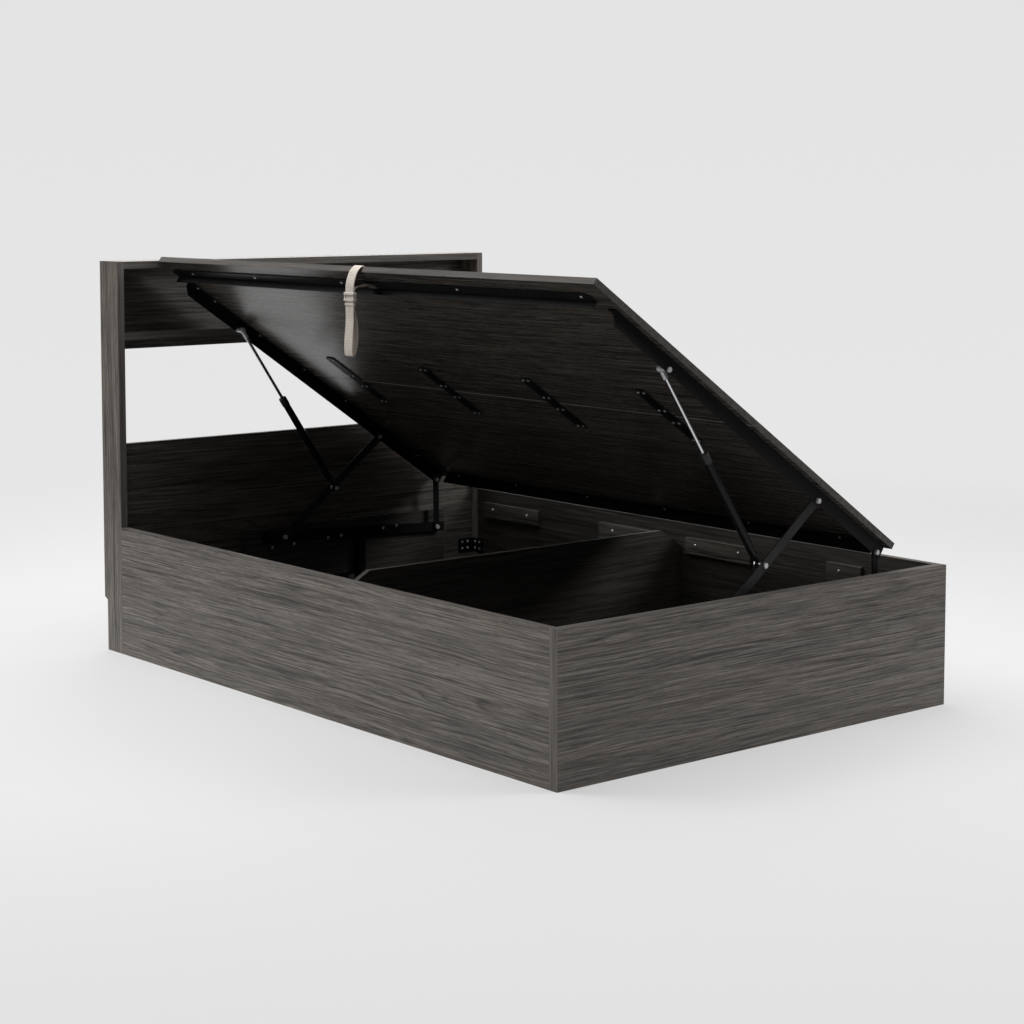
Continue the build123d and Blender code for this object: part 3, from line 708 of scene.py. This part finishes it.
@dataclass
class ScrewSet:
    """Pan-head screws with a cross recess, all of one sub-assembly in one piece."""

    name: str
    body: str
    slot: str = "zinc_steel"
    finish: object = ZINC
    head_radius: float = 0.0042
    head_height: float = 0.0022
    recess_reach: float = 0.0019
    recess_width: float = 0.00065
    recess_depth: float = 0.0011
    around: int = 16
    seed: int = 5
    places: list = field(default_factory=list)

    def add(self, point: Vector, normal: Vector) -> None:
        """Adds a screw whose head sits on a surface point."""
        self.places.append((Vector(point), Vector(normal)))

    def head(self) -> bmesh.types.BMesh:
        """Builds one head that stands on Z = 0.

        Returns:
            The mesh.
        """
        made = bmesh.new()
        rings = []
        profile = ((1.0, -0.15), (1.0, 0.25), (0.93, 0.55), (0.74, 0.86), (0.56, 1.0))
        for radius, height in profile:
            ring = []
            for step in range(self.around):
                turn = math.tau * step / self.around
                x = self.head_radius * radius * math.cos(turn)
                y = self.head_radius * radius * math.sin(turn)
                ring.append(made.verts.new((x, y, self.head_height * height)))
            rings.append(ring)
        for low, high in zip(rings, rings[1:]):
            for step in range(self.around):
                after = (step + 1) % self.around
                made.faces.new((low[step], low[after], high[after], high[step]))
        w, r, top = self.recess_width, self.recess_reach, self.head_height
        corners = [(r, w), (w, w), (w, r), (-w, r), (-w, w), (-r, w)]
        corners += [(-x, -y) for x, y in corners]
        count = len(corners)
        rim = [made.verts.new((x, y, top)) for x, y in corners]
        low_rim = [made.verts.new((x * 0.75, y * 0.75, top - self.recess_depth)) for x, y in corners]
        edges = [made.edges.new((rim[k], rim[(k + 1) % count])) for k in range(count)]
        outer = [made.edges.get((rings[-1][k], rings[-1][(k + 1) % self.around])) for k in range(self.around)]
        bmesh.ops.bridge_loops(made, edges=edges + outer)
        for k in range(count):
            after = (k + 1) % count
            made.faces.new((rim[k], rim[after], low_rim[after], low_rim[k]))
        made.faces.new(low_rim)
        bmesh.ops.recalc_face_normals(made, faces=made.faces)
        return made

    def build(self) -> None:
        """Builds the piece."""
        spins = random.Random(self.seed)
        head = self.head()
        head.verts.index_update()
        base = [v.co.copy() for v in head.verts]
        tris = [tuple(v.index for v in f.verts) for f in head.faces]
        head.free()
        verts, faces = [], []
        for point, normal in self.places:
            turn = Matrix.Translation(point) @ facing(normal, spins.uniform(0, math.tau))
            start = len(verts)
            verts.extend(turn @ v for v in base)
            faces.extend(tuple(start + k for k in f) for f in tris)
        mesh_piece(self.name, verts, faces, self.body, self.finish, smooth=False)


@dataclass
class TurnedSet:
    """Round pieces turned from one outline, such as washers, collars and bushes."""

    name: str
    body: str
    slot: str
    finish: object
    outline: tuple
    around: int = 32
    places: list = field(default_factory=list)

    def add(self, point: Vector, axis: Vector) -> None:
        """Adds one piece at a point, along an axis."""
        self.places.append((Vector(point), Vector(axis)))

    def build(self) -> None:
        """Builds the piece."""
        verts, faces = [], []
        count = len(self.outline)
        for point, axis in self.places:
            turn = Matrix.Translation(point) @ facing(axis)
            start = len(verts)
            for step in range(self.around):
                angle = math.tau * step / self.around
                for radius, height in self.outline:
                    verts.append(turn @ Vector((radius * math.cos(angle), radius * math.sin(angle), height)))
            for step in range(self.around):
                near, far = start + step * count, start + (step + 1) % self.around * count
                for k in range(count):
                    after = (k + 1) % count
                    faces.append((near + k, far + k, far + after, near + after))
        piece = mesh_piece(self.name, verts, faces, self.body, self.finish)
        piece.data.set_sharp_from_angle(angle=math.radians(35))


@dataclass
class BoxBoards:
    """Panels, partition, bottom boards and inner blocks of the box."""

    near_inner: float = -0.688
    far_inner: float = 0.688
    foot_inner: float = -1.0435
    head_inner: float = 0.9985
    block_thickness: float = 0.012
    block_screw_height: float = 0.329
    block_screw_rows: tuple = (0.869, 0.689, 0.260, 0.083, -0.119, -0.304, -0.709)
    bracket_sheet: float = 0.002
    bracket_screw_heights: tuple = (0.182, 0.205)
    bracket_screw_reaches: tuple = (0.020, 0.044)

    def build(self) -> None:
        """Dresses the boards and adds their screws."""
        # The inner boards and the inward faces use darker copies (depth 0.30 to 0.55) as painted shade under the open
        # lid; the outer panels use lighter copies (depth 1.38 to 1.72) as painted light.
        inside = WoodLaminate(Grain.ALONG_BED, 5.0, 0.30)
        inside_across = WoodLaminate(Grain.ACROSS_BED, 4.0, 0.38)
        near = WoodLaminate(Grain.ALONG_BED, 1.0, 1.72)
        far = WoodLaminate(Grain.ALONG_BED, 2.0, 1.72)
        foot = WoodLaminate(Grain.ACROSS_BED, 3.0, 1.38)
        dress("near_side_panel", near, PANEL_EDGE, (-1, 0, 0), inner=inside, ends=PANEL_END)
        dress("far_side_panel", far, PANEL_EDGE, (1, 0, 0), inner=inside, ends=PANEL_END)
        dress("foot_panel", foot, FOOT_EDGE, (0, -1, 0), inner=inside_across, ends=PANEL_END)
        dress("partition", inside_across, PARTITION_EDGE, (0, 1, 0))
        for name in ("floor_board_foot", "floor_board_head"):
            dress(name, inside, ease=0.0003)
        dress("floor_battens", inside_across, ease=0.0003)
        dress("lid_ledges", inside)
        dress("side_blocks", WoodLaminate(Grain.ALONG_BED, 8.0, 0.55))
        dress("head_packer", inside_across)
        dress("corner_brackets", COAT, ease=0.0004)
        self.screws()

    def screws(self) -> None:
        """Adds the screws of the joint blocks and corner brackets."""
        screws = ScrewSet("box_screws", "box", head_radius=0.0046)
        for y in self.block_screw_rows:
            screws.add((self.far_inner - self.block_thickness, y, self.block_screw_height), (-1, 0, 0))
        for z in self.bracket_screw_heights:
            for x, inward in ((self.near_inner, 1), (self.far_inner, -1)):
                for y, headward in ((self.foot_inner, 1), (self.head_inner, -1)):
                    for reach in self.bracket_screw_reaches:
                        screws.add((x + inward * self.bracket_sheet, y + headward * reach, z), (inward, 0, 0))
                        screws.add((x + inward * reach, y + headward * self.bracket_sheet, z), (0, headward, 0))
        screws.build()


@dataclass
class HeadboardBoards:
    """Boards of the headboard with its shelf and open gap."""

    def build(self) -> None:
        """Dresses the boards."""
        across = EdgeBand(Grain.ACROSS_BED, (0.120, 0.109, 0.100))
        upright = EdgeBand(Grain.UPRIGHT, (0.150, 0.136, 0.126))
        # The side boards use a lighter copy of the laminate (depth 1.6) as painted light.
        for name, seed in (("near_side", 10.0), ("far_side", 11.0), ("edge_strips", 12.0)):
            dress(f"headboard_{name}", WoodLaminate(Grain.UPRIGHT, seed, 1.6), upright, (1, 0, 0))
        for name, seed, depth, normal in (
            ("top", 13.0, 1.0, (0, 0, 1)),
            ("shelf", 14.0, 0.8, (0, 0, 1)),
            ("upper_back", 15.0, 0.8, (0, 1, 0)),
            ("lower_panel", 16.0, 0.8, (0, 1, 0)),
        ):
            dress(f"headboard_{name}", WoodLaminate(Grain.ACROSS_BED, seed, depth), across, normal)


@dataclass
class LidBoards:
    """The lid's two boards, with the steel on their underside."""

    width: float = LID_WIDTH
    plate_length: float = 0.272
    plate_first: float = 0.306
    plate_pitch: float = 0.470
    plate_count: int = 4
    steel: float = LID_STEEL
    plate_screw_places: tuple = (0.012, 0.104, 0.168, 0.260)
    plate_screw_gauge: float = 0.011
    free_screw_line: float = 1.266
    free_screw_places: tuple = (-0.943, -0.457, 0.060, 0.496, 0.839)
    hinge_screw_line: float = 0.030
    hinge_screw_places: tuple = (0.20, 0.55, 0.90, 1.25, 1.60, 1.90)
    rail_screw_line: float = RAIL_PLANE + 0.016
    rail_screw_places: tuple = (0.148, 0.505, 0.700, 0.905, 1.106, 1.180)
    seam_half: float = 0.0016
    seam_proud: float = 0.0002
    seam_depth: float = 0.001

    def build(self) -> None:
        """Dresses the lid and adds its screws."""
        square = (math.sin(LID_TILT), 0, math.cos(LID_TILT))
        for name, seed in (("lid_hinge_board", 17.0), ("lid_free_board", 18.0)):
            under = WoodLaminate(Grain.ALONG_LID, seed, 0.90, roughness=0.24, emboss=0.14)
            dress(name, under, LID_EDGE_GRAIN, square)
        for name in ("lid_free_angle", "lid_hinge_angle", "lid_joint_plates", "top_rail_foot", "top_rail_head"):
            dress(name, COAT, ease=0.0004)
        self.plate_screws()
        self.angle_screws()
        self.seam()

    def plate_screws(self) -> None:
        """Adds eight screws to each joint plate."""
        screws = ScrewSet("plate_screws", "lid", head_radius=0.0040)
        start = self.width / 2 - self.plate_length / 2
        for number in range(self.plate_count):
            y = LID_FOOT_END + self.plate_first + number * self.plate_pitch
            for reach in self.plate_screw_places:
                for gauge in (-self.plate_screw_gauge, self.plate_screw_gauge):
                    screws.add(lid_point(start + reach, self.steel, y + gauge), lid_down())
        screws.build()

    def angle_screws(self) -> None:
        """Adds the screws of the free edge, hinge edge and end rails."""
        screws = ScrewSet("angle_screws", "lid", head_radius=0.0042)
        for y in self.free_screw_places:
            screws.add(lid_point(self.free_screw_line, self.steel, y), lid_down())
        for place in self.hinge_screw_places:
            screws.add(lid_point(self.hinge_screw_line, self.steel, FOOT_FACE + place), lid_down())
        for along in self.rail_screw_places:
            for y in (self.rail_screw_line, mirrored(self.rail_screw_line)):
                screws.add(lid_point(along, self.steel, y), lid_down())
        screws.build()

    def seam(self) -> None:
        """Draws the pale edging that shows between the lid's two boards."""
        half, proud, deep = self.seam_half, self.seam_proud, -self.seam_depth
        verts = []
        for along, drop in ((-half, deep), (-half * 0.6, proud), (half * 0.6, proud), (half, deep)):
            for y in (LID_FOOT_END, LID_HEAD_END):
                verts.append(lid_point(self.width / 2 + along, drop, y))
        faces = [(0, 1, 3, 2), (2, 3, 5, 4), (4, 5, 7, 6), (0, 2, 4, 6), (1, 7, 5, 3), (0, 6, 7, 1)]
        mesh_piece("lid_seam", verts, faces, "lid", SEAM_LINE, smooth=False)


@dataclass
class Lift:
    """Arms, links, tubes and gas struts at both ends."""

    strut_plane: float = RAIL_PLANE + 0.027
    strut_low: tuple = (0.052421, 0.0, 0.453867)
    strut_high: tuple = (-0.299627, 0.0, 0.983203)
    collar_reach: float = 0.3385
    collar_outline: tuple = (
        *((0.0112, 0.0), (0.0121, 0.001), (0.0123, 0.010), (0.0123, 0.026)),
        *((0.0117, 0.0295), (0.0056, 0.0297), (0.0056, 0.0288), (0.0112, 0.0276)),
    )
    tube_face: float = -1.0145
    tube_start: float = -0.1331
    tube_height: float = 0.2810
    tube_slope: float = 0.046
    tube_screw_places: tuple = (-0.178, -0.094, 0.040, 0.092, 0.262, 0.318)

    def build(self) -> None:
        """Dresses the steel of the lift and adds its small pieces."""
        for side in Side:
            for name, finish, ease in (
                ("base_tube", COAT, 0.0005),
                ("base_leg", COAT, 0.0005),
                ("short_link", COAT, 0.0005),
                ("long_arm", ARM_COAT, 0.0005),
                ("strut_tube", STRUT_PAINT, 0.0),
                ("strut_lower_eye", STRUT_PAINT, 0.0003),
                ("strut_gland", BLACK_NYLON, 0.0),
                ("strut_rod", CHROME, 0.0),
                ("strut_upper_eye", ZINC, 0.0003),
            ):
                dress(f"{name}_{side.value}", finish, ease=ease)
        for name in ("base_bolts", "link_top_bolts", "arm_top_bolts", "link_top_nuts"):
            dress(name, ZINC, ease=0.0004)
        for name in ("strut_base_studs", "strut_top_studs", "strut_top_nuts"):
            dress(name, ZINC, ease=0.0004)
        self.collars()
        self.tube_screws()

    def tube_screws(self) -> None:
        """Adds the flush screws that hold each base tube to its panel."""
        screws = ScrewSet("base_tube_screws", "box", head_radius=0.0050, head_height=0.0002, recess_depth=0.0004)
        for x in self.tube_screw_places:
            z = self.tube_height + (x - self.tube_start) * self.tube_slope
            screws.add((x, self.tube_face, z), (0, 1, 0))
            screws.add((x, mirrored(self.tube_face), z), (0, -1, 0))
        screws.build()

    def collars(self) -> None:
        """Adds the moulded collar at the rod end of each strut tube."""
        low = Vector(self.strut_low)
        axis = (Vector(self.strut_high) - low).normalized()
        place = low + axis * self.collar_reach
        collars = TurnedSet("strut_collars", "strut_cylinders", "gland_plastic", BLACK_NYLON, self.collar_outline)
        for y in (self.strut_plane, mirrored(self.strut_plane)):
            collars.add((place.x, y, place.z), axis)
        collars.build()


@dataclass
class PullStrap:
    """Webbing strap with its slider, hung from the free edge in one long loop."""

    lid_width: float = LID_WIDTH
    lid_thickness: float = 0.018
    steel: float = LID_STEEL
    width: float = 0.038
    thickness: float = 0.0022
    fit: float = 0.0003
    middle_y: float = -0.0735
    tab_length: float = 0.045
    hang_gap: float = 0.022
    drop: float = 0.230
    lean: float = 0.006
    sway: float = 0.0005
    loop_width: float = 0.005
    bulge: float = 0.014
    lower_tab_place: float = 1.276
    lower_tab_length: float = 0.026
    lower_tab_lift: float = 0.004
    lower_tab_turn: float = 0.005
    slider_height: float = 0.024
    slider_drop: float = 0.067
    # Length of the strap's far end that is painted dark brown as painted shade.
    painted_shade_length: float = 0.080
    soft_rounds: int = 4
    across: int = 12
    stitch_length: float = 0.0026
    stitch_pitch: float = 0.0038
    stitch_radius: float = 0.00038
    stitch_sides: int = 6
    stitch_inset: float = 0.004
    band_corner: float = 0.0015
    band_overlap: float = 0.0020
    band_sizes: tuple = (
        (0.0085, 0.0075, 0.0046, 0.0020),
        (-0.0085, 0.0075, 0.0046, 0.0020),
        (-0.0205, 0.0070, 0.0030, 0.0014),
    )

    def on_lid(self, along: float, drop: float) -> tuple:
        """Returns a point of the lid in the side view."""
        point = lid_point(along, drop, 0.0)
        return point.x, point.z

    def upper_points(self) -> list:
        """Lays the strap's line from its tab on the lid's top to its lowest bend.

        Returns:
            Side view points.
        """
        lift = self.thickness / 2 + self.fit
        corner = self.on_lid(self.lid_width, 0)
        front, low = corner[0] - self.hang_gap, corner[1] - self.drop
        return [
            self.on_lid(self.lid_width - self.tab_length, -self.lid_thickness - lift),
            self.on_lid(self.lid_width - 4 * lift, -self.lid_thickness - lift),
            self.on_lid(self.lid_width + 1.6 * lift, -self.lid_thickness - 1.6 * lift),
            (front + 0.63 * self.hang_gap, corner[1] + 0.25 * self.lid_thickness),
            (front + 0.2 * self.hang_gap, corner[1] - 0.9 * self.hang_gap),
            (front, corner[1] - self.slider_drop + 1.2 * self.slider_height),
            (front, corner[1] - self.slider_drop),
            (front, corner[1] - self.slider_drop - 1.2 * self.slider_height),
            (front + self.sway, corner[1] - 0.6 * self.drop),
            (front - self.lean, corner[1] - 0.86 * self.drop),
            (front - 0.6 * self.lean, low + self.loop_width / 2),
        ]

    def lower_points(self) -> list:
        """Lays the strap's line from its lowest bend to its tab under the lid.

        Returns:
            Side view points.
        """
        corner = self.on_lid(self.lid_width, 0)
        front, low = corner[0] - self.hang_gap, corner[1] - self.drop
        beside = front + self.thickness + self.fit
        steel_face = self.steel + self.thickness / 2 + self.fit
        slider_top = corner[1] - self.slider_drop + self.slider_height / 2
        near = self.on_lid(self.lower_tab_place, steel_face)
        turn = self.lower_tab_turn
        return [
            (front - 0.6 * self.lean + self.loop_width, low + self.loop_width / 2),
            (front + 0.6 * self.bulge, corner[1] - 0.93 * self.drop),
            (front + self.bulge, corner[1] - 0.82 * self.drop),
            (front + self.bulge, corner[1] - 0.63 * self.drop),
            (beside + 0.3 * self.bulge, corner[1] - 0.5 * self.drop),
            (beside, slider_top - 1.6 * self.slider_height),
            (beside, slider_top - 0.5 * self.slider_height),
            (beside, slider_top + 0.6 * self.slider_height),
            (near[0] - 0.35 * (near[0] - beside), near[1] - 0.45 * (near[1] - slider_top)),
            (near[0] - 0.3 * turn, near[1] - self.lower_tab_lift),
            (near[0] + turn * math.cos(LID_TILT), near[1] - turn * math.sin(LID_TILT)),
            self.on_lid(self.lower_tab_place - self.lower_tab_length, steel_face),
        ]

    def soften(self, points: list) -> list:
        """Rounds an open line by cutting each of its corners.

        Args:
            points: Side view points.

        Returns:
            More points on a softer line with the same ends.
        """
        softer = [points[0]]
        for first, second in zip(points, points[1:]):
            for share in (0.25, 0.75):
                softer.append(tuple(a + share * (b - a) for a, b in zip(first, second)))
        return softer[:1] + softer[2:-1] + [points[-1]]

    def section(self) -> list:
        """Draws the webbing's cross-section with its rounded, slightly thicker selvedges.

        Returns:
            Pairs of a place across the strap and a height over its middle, as a closed ring.
        """
        top = []
        for step in range(self.across + 1):
            share = 2 * step / self.across - 1
            place = math.copysign(1 - (1 - abs(share)) ** 1.5, share)
            edge = max(0.0, (abs(place) - 0.80) / 0.20)
            height = 1.0 + 0.10 * math.sin(math.pi * edge) - 0.55 * edge**6
            top.append((place * self.width / 2, height * self.thickness / 2))
        return top + [(y, -h) for y, h in reversed(top)]

    def webbing(self) -> bpy.types.Object:
        """Weaves the strap along its line.

        Returns:
            The new object.
        """
        line = self.upper_points() + self.lower_points()
        for _ in range(self.soft_rounds):
            line = self.soften(line)
        length = sum(math.dist(a, b) for a, b in zip(line, line[1:]))
        # The strap's far end is painted dark brown as painted shade.
        finish = Webbing(painted_shade_start=length - self.painted_shade_length)
        ring = self.section()
        verts, runs, run = [], [], 0.0
        for number, (x, z) in enumerate(line):
            before, after = line[max(number - 1, 0)], line[min(number + 1, len(line) - 1)]
            reach = math.dist(before, after)
            run += math.dist(line[number - 1], (x, z)) if number else 0.0
            side = (-(after[1] - before[1]) / reach, (after[0] - before[0]) / reach)
            for y, height in ring:
                verts.append((x + side[0] * height, self.middle_y + y, z + side[1] * height))
                runs.append((run, y))
        count = len(ring)
        faces = ring_faces(0, len(line), count)
        last = (len(line) - 1) * count
        faces.append(tuple(range(count - 1, -1, -1)))
        faces.append(tuple(last + k for k in range(count)))
        piece = mesh_piece("pull_strap", verts, faces, "lid", finish)
        layer = piece.data.uv_layers.new(name="strap_run")
        for loop in piece.data.loops:
            layer.data[loop.index].uv = runs[loop.vertex_index]
        return piece

    def stitches(self) -> None:
        """Sews the box of thread that holds the upper tab."""
        drop = -self.lid_thickness - self.thickness - self.fit
        near, far = self.lid_width - 0.012, self.lid_width - self.tab_length + self.stitch_inset
        side = self.width / 2 - self.stitch_inset
        corners = [(near, -side), (near, side), (far, side), (far, -side)]
        runs = [(corners[k], corners[(k + 1) % 4]) for k in range(4)]
        runs += [(corners[0], corners[2]), (corners[1], corners[3])]
        sides, over = self.stitch_sides, -lid_down()
        verts, faces = [], []
        for first, second in runs:
            reach = math.dist(first, second)
            count = max(1, round(reach / self.stitch_pitch))
            half = self.stitch_length / 2 / reach
            for number in range(count):
                middle = (number + 0.5) / count
                ends = []
                for share in (middle - half, middle + half):
                    along, y = (a + share * (b - a) for a, b in zip(first, second))
                    ends.append(lid_point(along, drop, self.middle_y + y))
                beside = (ends[1] - ends[0]).normalized().cross(over)
                start = len(verts)
                for share, swell in ((0.0, 0.35), (0.25, 1.0), (0.75, 1.0), (1.0, 0.35)):
                    base, size = ends[0].lerp(ends[1], share), self.stitch_radius * swell
                    for step in range(sides):
                        turn = math.tau * step / sides
                        verts.append(base + (over * math.cos(turn) + beside * math.sin(turn)) * size)
                faces.extend(ring_faces(start, 4, sides))
                faces.append(tuple(start + k for k in reversed(range(sides))))
                faces.append(tuple(start + 3 * sides + k for k in range(sides)))
        mesh_piece("strap_stitches", verts, faces, "lid", THREAD)

    def bands(self) -> None:
        """Wraps the bands of webbing that finish the slider and keep the loop closed."""
        corner = self.on_lid(self.lid_width, 0)
        middle_x = corner[0] - self.hang_gap + (self.thickness + self.fit) / 2
        middle_z = corner[1] - self.slider_drop
        verts, faces = [], []
        rows = ((0.0, -0.5), (1.0, -0.34), (1.0, 0.34), (0.0, 0.5))
        for lift, height, gap, wall in self.band_sizes:
            half_x = gap - self.band_corner
            half_y = self.width / 2 + gap - self.band_overlap - self.band_corner
            around = []
            for sign_x, sign_y, first in ((1, 1, 0), (-1, 1, 90), (-1, -1, 180), (1, -1, 270)):
                for part in (0, 30, 60, 90):
                    turn = math.radians(first + part)
                    around.append((sign_x * half_x, sign_y * half_y, math.cos(turn), math.sin(turn)))
            faces.extend(ring_faces(len(verts), len(rows), len(around), closed=True))
            for out, rise in rows:
                swell = self.band_corner + out * wall
                for x, y, turn_x, turn_y in around:
                    place_x = middle_x + x + turn_x * swell
                    place_y = self.middle_y + y + turn_y * swell
                    verts.append((place_x, place_y, middle_z + lift + rise * height))
        mesh_piece("slider_bands", verts, faces, "lid", SLIDER_PLASTIC, smooth=False)

    def build(self) -> None:
        """Makes the strap and its thread, and dresses the slider."""
        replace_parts(self.webbing(), "strap")
        self.stitches()
        self.bands()
        dress("strap_slider", SLIDER_PLASTIC, ease=0.0004)


@dataclass
class Studio:
    """Pale floor, soft light and the camera."""

    floor_reach: float = 5.0
    floor_solid: float = 1.7
    floor_seen: float = 0.33
    floor_glow: float = 0.44
    floor_bounce: float = 0.36
    camera_place: tuple = (-4.1099, -5.0052, 1.4415)
    camera_yaw: float = -0.6924
    camera_pitch: float = math.radians(5.0)
    camera_focus: float = 2233.29
    sensor: float = 36.0
    picture_side: float = 1024.0
    principal_row: float = 378.85
    surround: float = 0.11
    backdrop_low: float = 0.99
    backdrop_high: float = 0.95
    backdrop_from: float = -0.10
    backdrop_to: float = 0.20

    def build(self) -> None:
        """Builds the whole studio."""
        self.floor()
        self.world()
        self.lights()
        self.camera()
        bpy.context.scene.view_settings.view_transform = "Standard"

    def floor(self) -> None:
        """Lays a round pale floor that fades into the backdrop far from the bed."""
        mesh = bpy.data.meshes.new("studio_floor")
        shape = bmesh.new()
        bmesh.ops.create_circle(shape, cap_ends=True, segments=96, radius=self.floor_reach)
        shape.to_mesh(mesh)
        shape.free()
        floor = bpy.data.objects.new("studio_floor", mesh)
        bpy.context.scene.collection.objects.link(floor)
        shader = Shader("studio_paper")
        shader.set(Roughness=0.9, Specular_IOR_Level=0.1)
        bounced = shader.node("LightPath").outputs["Is Diffuse Ray"]
        paper = shader.mix(bounced, (self.floor_seen,) * 3, (self.floor_bounce,) * 3)
        glow = shader.maths("MULTIPLY", shader.maths("SUBTRACT", 1.0, bounced), self.floor_glow)
        shader.set(Emission_Color=(1.0, 1.0, 1.0, 1.0))
        shader.link(glow, shader.base.inputs["Emission Strength"])
        shader.link(paper, shader.base.inputs["Base Color"])
        far = shader.node("VectorMath", operation="LENGTH")
        shader.link(shader.node("TexCoord").outputs["Object"], far.inputs[0])
        reach = shader.maths("DIVIDE", far.outputs["Value"], self.floor_reach)
        fade = shader.ramp(reach, ((self.floor_solid / self.floor_reach, 1.0), (0.98, 0.0)))
        shader.link(fade, shader.base.inputs["Alpha"])
        mesh.materials.append(shader.material)

    def world(self) -> None:
        """Sets a dim surround for the bed's light and a pale backdrop behind it."""
        world = bpy.data.worlds.new("studio")
        bpy.context.scene.world = world
        world.use_nodes = True
        tree = world.node_tree
        around = tree.nodes["Background"]
        around.inputs["Color"].default_value = (1.0, 1.0, 1.0, 1.0)
        around.inputs["Strength"].default_value = self.surround
        split = tree.nodes.new("ShaderNodeSeparateXYZ")
        tree.links.new(tree.nodes.new("ShaderNodeTexCoord").outputs["Generated"], split.inputs["Vector"])
        band = tree.nodes.new("ShaderNodeMapRange")
        band.inputs["From Min"].default_value = self.backdrop_from
        band.inputs["From Max"].default_value = self.backdrop_to
        band.inputs["To Min"].default_value = self.backdrop_low
        band.inputs["To Max"].default_value = self.backdrop_high
        tree.links.new(split.outputs["Z"], band.inputs["Value"])
        paper = tree.nodes.new("ShaderNodeBackground")
        tree.links.new(band.outputs["Result"], paper.inputs["Strength"])
        seen = tree.nodes.new("ShaderNodeLightPath")
        mixed = tree.nodes.new("ShaderNodeMixShader")
        tree.links.new(seen.outputs["Is Camera Ray"], mixed.inputs["Fac"])
        tree.links.new(around.outputs["Background"], mixed.inputs[1])
        tree.links.new(paper.outputs["Background"], mixed.inputs[2])
        tree.links.new(mixed.outputs["Shader"], tree.nodes["World Output"].inputs["Surface"])

    def lights(self) -> None:
        """Hangs the soft boxes."""
        self.soft_box("top_box", (0.3, 0.6, 4.6), (0.0, 0.0, 0.0), 5.0, 230.0)
        self.soft_box("left_box", (-3.0, 2.4, 4.0), (-0.7, 0.6, 0.3), 2.0, 125.0)
        self.soft_box("right_box", (3.4, -3.6, 3.2), (0.7, -1.0, 0.3), 2.0, 115.0)
        self.soft_box("back_box", (2.4, 4.6, 1.6), (-0.2, 0.9, 0.8), 2.6, 60.0)

    def soft_box(self, name: str, place: tuple, aim: tuple, size: float, power: float) -> None:
        """Hangs one square area light.

        Args:
            name: Name of the light.
            place: Where it hangs.
            aim: Point that it faces.
            size: Length of its side.
            power: Power in watts.
        """
        lamp = bpy.data.lights.new(name, "AREA")
        lamp.shape = "SQUARE"
        lamp.size = size
        lamp.energy = power
        made = bpy.data.objects.new(name, lamp)
        bpy.context.scene.collection.objects.link(made)
        made.location = place
        made.rotation_euler = (Vector(aim) - Vector(place)).to_track_quat("-Z", "Y").to_euler()

    def camera(self) -> None:
        """Sets the camera at the photograph's view."""
        lens = bpy.data.cameras.new("camera")
        lens.sensor_width = self.sensor
        lens.lens = self.camera_focus / self.picture_side * self.sensor
        lens.shift_y = -(self.picture_side / 2 - self.principal_row) / self.picture_side
        lens.clip_end = 200.0
        camera = bpy.data.objects.new("camera", lens)
        bpy.context.scene.collection.objects.link(camera)
        camera.location = self.camera_place
        camera.rotation_euler = (math.pi / 2 - self.camera_pitch, 0.0, self.camera_yaw)
        bpy.context.scene.camera = camera


NODES: dict = {}


def main() -> None:
    """Builds and dresses the whole bed."""
    logging.basicConfig(level=logging.INFO, format="%(name)s: %(message)s")
    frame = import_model()
    NODES.update(frame["nodes"])
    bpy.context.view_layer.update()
    Studio().build()
    for part in (BoxBoards(), HeadboardBoards(), LidBoards(), Lift(), PullStrap()):
        part.build()
        LOG.info("%s dressed", type(part).__name__)


if __name__ == "__main__":
    main()
